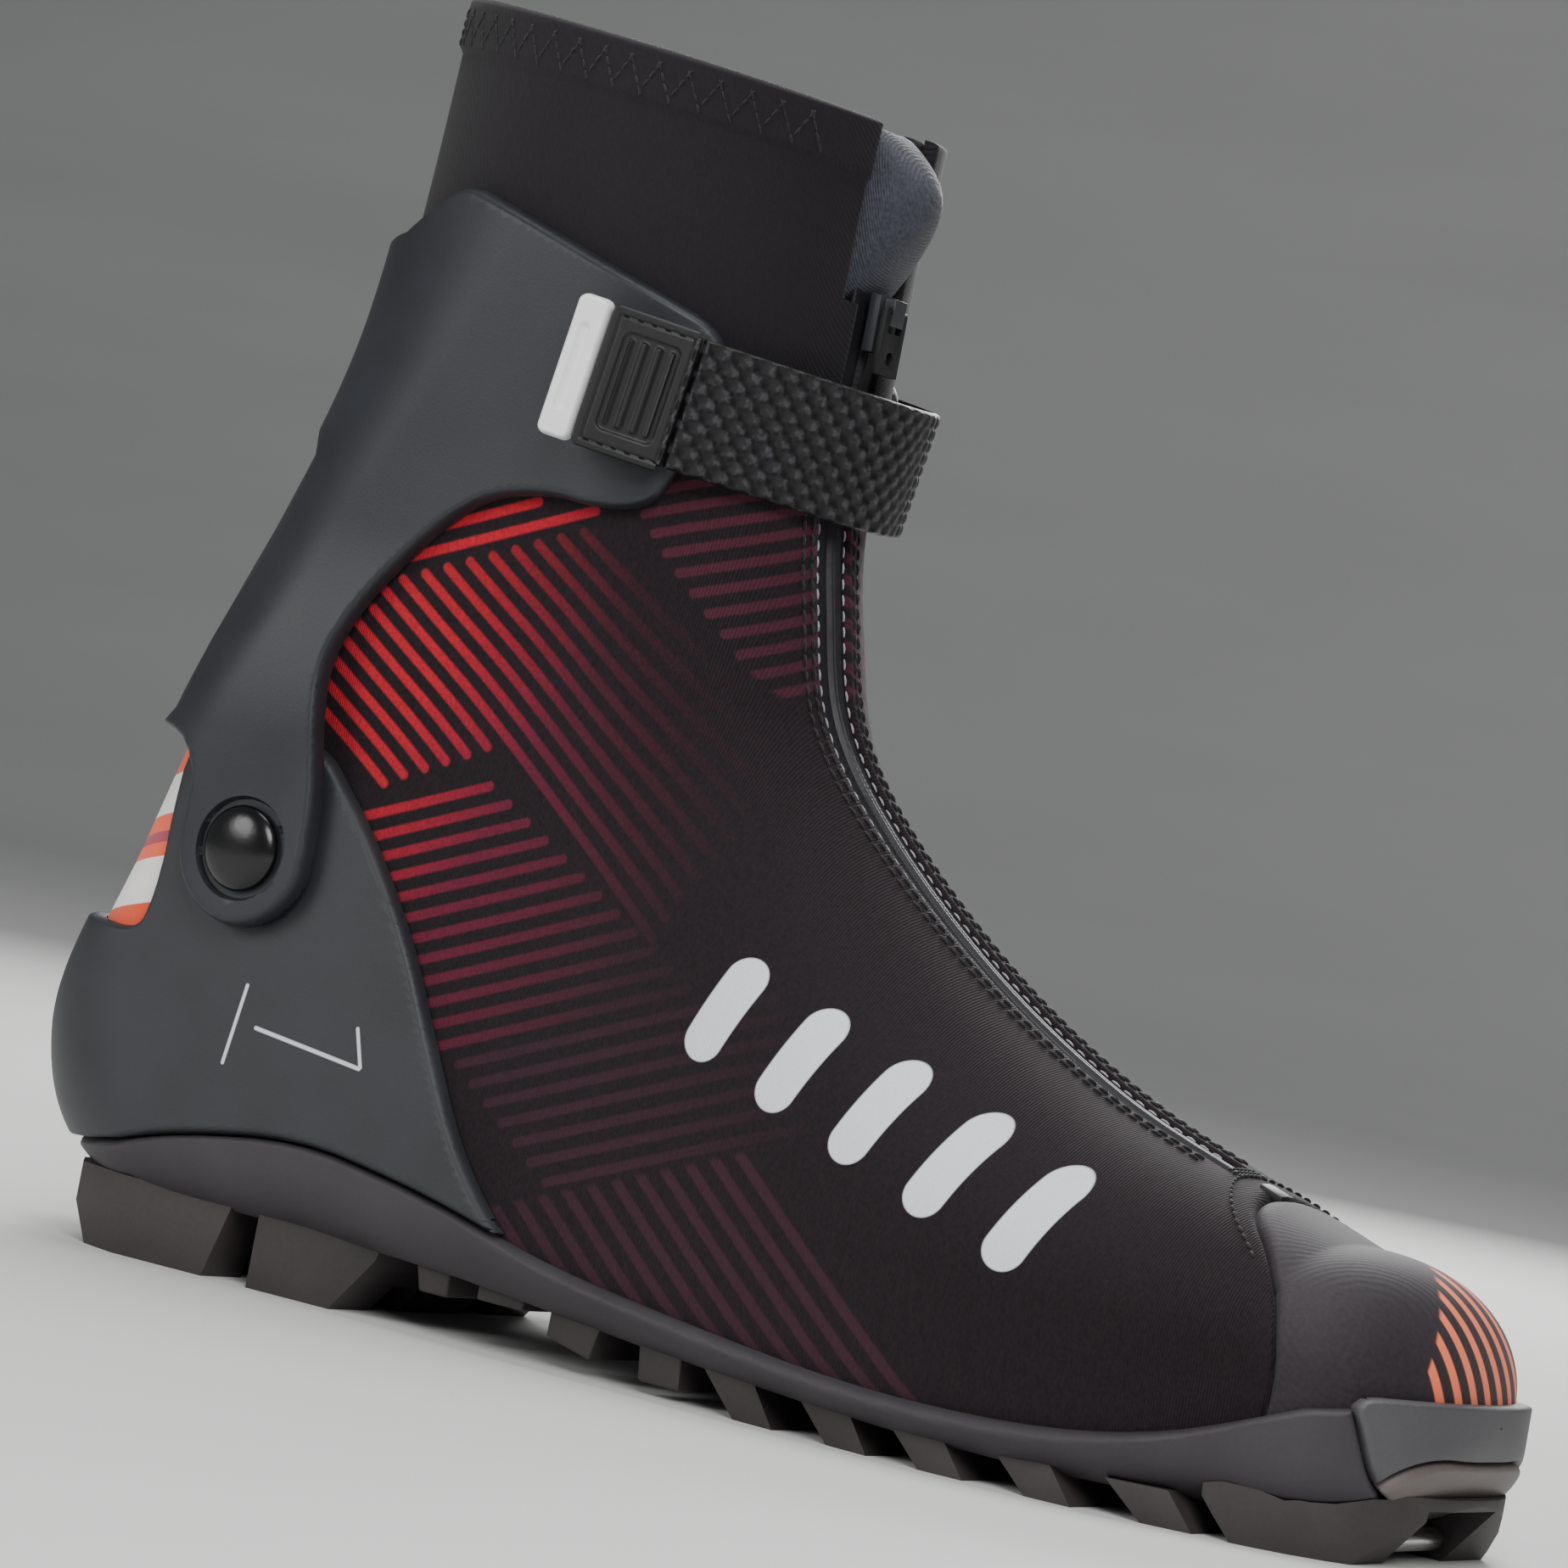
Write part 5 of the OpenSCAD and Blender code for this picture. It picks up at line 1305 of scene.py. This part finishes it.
# painted highlight on the tops of the weave's crossings, painted shade in the gaps between them
colour = add(tree, "ShaderNodeValToRGB", {"Fac": thread},
             stops=[(0.35, "#030304"), (0.62, "#141316"), (0.85, "#3b383e")])
finish_with(tree, shader, colour, None, fuzz, 0.15, 0.6)
print("webbing nodes:", len(tree.nodes))

# %% Three lengths of webbing
# The long one is thinner underneath, which leaves room for the zip's pull to pass
strap = strap_piece("strap_webbing_woven", STRAP_PATH, STRAP_HALF, 0.3, -0.5, webbing_height,
                    0.5, webbing)
ride(strap, "strap", "webbing", "strap_webbing")
anchor = strap_piece("strap_anchor_woven", ANCHOR_PATH, STRAP_HALF, 0.3, STRAP_UNDER,
                     webbing_height, 0.5, webbing)
ride(anchor, "cuff", "webbing", "strap_anchor")
tail = strap_piece("strap_tail_woven", TAIL_PATH, STRAP_HALF, 0.3, STRAP_UNDER, webbing_height,
                   0.5, webbing)
ride(tail, "strap_tail", "webbing", "strap_tail")
print("strap:", len(strap.data.vertices), "points")

# %% [markdown]
# ## Grip and tip
# The free end carries a moulded black patch with four ribs in a sunk field and a stitched border,
# and past it a white rubber tip with a groove. Both are ribbons like the webbing, so they follow
# its curve, and their relief is a height over length and width.

# %% Grip
GRIP_HALF, GRIP_TOP, BORDER, RIBS = 12.5, 1.9, 3.2, 4


def grip_height(t):
    """A raised border with a dashed groove for its stitches, and ribs in the sunk field"""
    s, w = t[:, 6], t[:, 7]
    top = np.full(len(t), GRIP_TOP)
    field = panel(grip_length - 2 * BORDER, 8.6, 1.5, BORDER)(t)
    top -= 0.55 * ease((field + 0.2) / 0.5)
    ribs = 0.5 + 0.5 * np.cos(2 * math.pi * (s - BORDER) / ((grip_length - 2 * BORDER) / RIBS))
    top += 0.75 * ease((field - 0.9) / 0.4) * (1 - ribs) ** 2
    border = np.abs(panel(grip_length, GRIP_HALF, 1.2)(t) - 1.5)
    dash = np.maximum(np.sin(s * 2.6), np.sin(w * 2.6)) > 0
    return top - np.where((border < 0.25) & (field < -0.4), 0.2 + 0.2 * dash, 0)


GRIP_START = -2.2  # the grip stays clear of the fold where the tail peels open
grip_length = ribbon_sheet(TAIL_PATH, GRIP_HALF, 1.0, GRIP_START)[2]
grip = strap_piece("tail_grip_moulded", TAIL_PATH, GRIP_HALF, 1.2, 0.75, grip_height, 0.5,
                   black_rubber, 0.25, GRIP_START)
ride(grip, "strap_tail", "black_rubber", "tail_grip_patch")
print("grip length:", round(grip_length, 1), "mm")

# %% Tip
end, way = np.array(TAIL_PATH[-1]), np.array(TAIL_PATH[-1]) - np.array(TAIL_PATH[-2])
way = way / np.linalg.norm(way)
TIP_PATH = [end + 0.2 * way, end + 3.3 * way, end + 6.4 * way]


def tip_height(t):
    """The outer face with one groove across it"""
    groove = panel(1.7, 7.6, 0.85, 2.4)(t)
    return 2.5 - 0.9 * ease((groove + 0.2) / 0.6)


tip = strap_piece("tail_tip_moulded", TIP_PATH, GRIP_HALF, 1.6, STRAP_UNDER, tip_height, 0.8,
                  white_rubber, 0.25)
ride(tip, "strap_tail", "white_rubber", "tail_tip")
print("tip:", len(tip.data.vertices), "points")

# %% [markdown]
# ## Sole and small hardware
# The treads, ribs and toe block are moulded with plain faces, so a copy of each CAD solid is
# cleaned of its extra edges and given a small rounded edge, as a mould leaves. The same serves
# the zip's slider and its pull. A bevel modifier is used because the faces stay flat.

# %% Softened copies
import bmesh


SHARP = 25


def softened(node, name, width, finish):
    """A copy of a CAD node with its flat faces joined up and its edges rounded by this width"""
    obj = copied(node, name, finish)
    work = bmesh.new()
    work.from_mesh(obj.data)
    bmesh.ops.remove_doubles(work, verts=work.verts, dist=2e-5)
    bmesh.ops.dissolve_limit(work, angle_limit=math.radians(1.5), verts=work.verts,
                             edges=work.edges)
    work.to_mesh(obj.data)
    work.free()
    bevel = obj.modifiers.new("bevel", "BEVEL")
    bevel.width, bevel.segments = width * 0.001, 2
    bevel.limit_method, bevel.angle_limit = "ANGLE", math.radians(SHARP)
    applied(obj)
    obj.data.polygons.foreach_set("use_smooth", [True] * len(obj.data.polygons))
    obj.data.set_sharp_from_angle(angle=math.radians(32))
    return carry_rest(obj)


print("edges sharper than", SHARP, "degrees are rounded")

# %% Treads and hardware
SOFTENED = [
    ("heel_tread", "heel_tread_moulded", 0.7, tread_tpu, "boot", "tpu_taupe"),
    ("arch_ribs", "arch_ribs_moulded", 0.5, tread_tpu, "boot", "tpu_taupe"),
    ("forefoot_tread", "forefoot_tread_moulded", 0.5, tread_tpu, "boot", "tpu_taupe"),
    ("toe_block", "toe_block_moulded", 0.5, tread_tpu, "boot", "tpu_taupe"),
    ("zip_slider", "zip_slider_cast", 0.4, zinc_black, "zip_slider", "zinc"),
    ("zip_puller", "zip_puller_loop", 0.35, black_rubber, "zip_puller", "black_rubber"),
    ("zip_end_stop", "zip_end_stop_cast", 0.2, black_rubber, "boot", "black_plastic"),
    ("strap_anchor_plate", "strap_plate_moulded", 0.3, gloss_black, "cuff", "black_plastic"),
    ("strap_rivet", "strap_rivet_cast", 0.4, zinc_black, "cuff", "black_plastic"),
    ("toe_bar", "toe_bar_steel", 0.2, steel, "boot", "steel")]
for node, name, width, finish, body, slot_name in SOFTENED:
    piece = softened(node, name, width, finish)
    ride(piece, body, slot_name, node)
    print(name, len(piece.data.vertices))

# %% [markdown]
# ## Pieces inside the boot
# The remaining CAD nodes are shown as they are, mostly out of sight: the board and shank in the
# sole, the insole, the stiffener in the toe, the lace, the washers and the hook pads. Each gets
# the finish of its real material, whose pattern follows the node's own place.

# %% Finishes of the kept nodes
# Plastics and boards are dull or satin, woven goods have ribs, and hook tape is the dullest
KEPT = {
    "sole_plate": moulded("nylon_sole_plate", "#1f2023", "#2a2b2e", 0.55, 1.2, kept=True),
    "shank": moulded("carbon_filled_nylon", "#18191b", "#242528", 0.45, 0.8, kept=True),
    "pivot_washers": moulded("acetal_washer", "#c4c0b4", "#d2cec3", 0.4, 1.0, kept=True),
    "toe_puff": moulded("thermoplastic_stiffener", "#2a2a2d", "#38383b", 0.6, 1.0, kept=True),
    "lasting_board": cloth("fibre_board", "#8d7c62", "#a39173", 0.85, 0.75, kept=True),
    "insole": cloth("insole_cloth", "#8e2a26", "#ab3a31", 0.85, 0.45, kept=True),
    "lace": cloth("braided_lace", "#c9512a", "#e66f3f", 0.7, 0.3, kept=True),
    "lace_loops": cloth("loop_webbing", "#151517", "#242427", 0.7, 0.4, kept=True),
    "hook_pad": cloth("hook_tape", "#1b1b1e", "#2c2c30", 0.9, 0.35, 0.3, kept=True),
    "tail_hook_pad": cloth("loop_tape", "#232327", "#3a3a3f", 0.95, 0.3, 0.3, kept=True)}
for node, finish in KEPT.items():
    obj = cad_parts[node]
    obj.data.materials.clear()
    obj.data.materials.append(finish)
print("kept nodes:", sorted(KEPT))
print("still plain:", [n for n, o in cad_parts.items() if not o.hide_render and n not in KEPT])

lo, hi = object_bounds()
print("visual box in mm:", [round(1000 * (b - a), 1) for a, b in zip(lo, hi)])
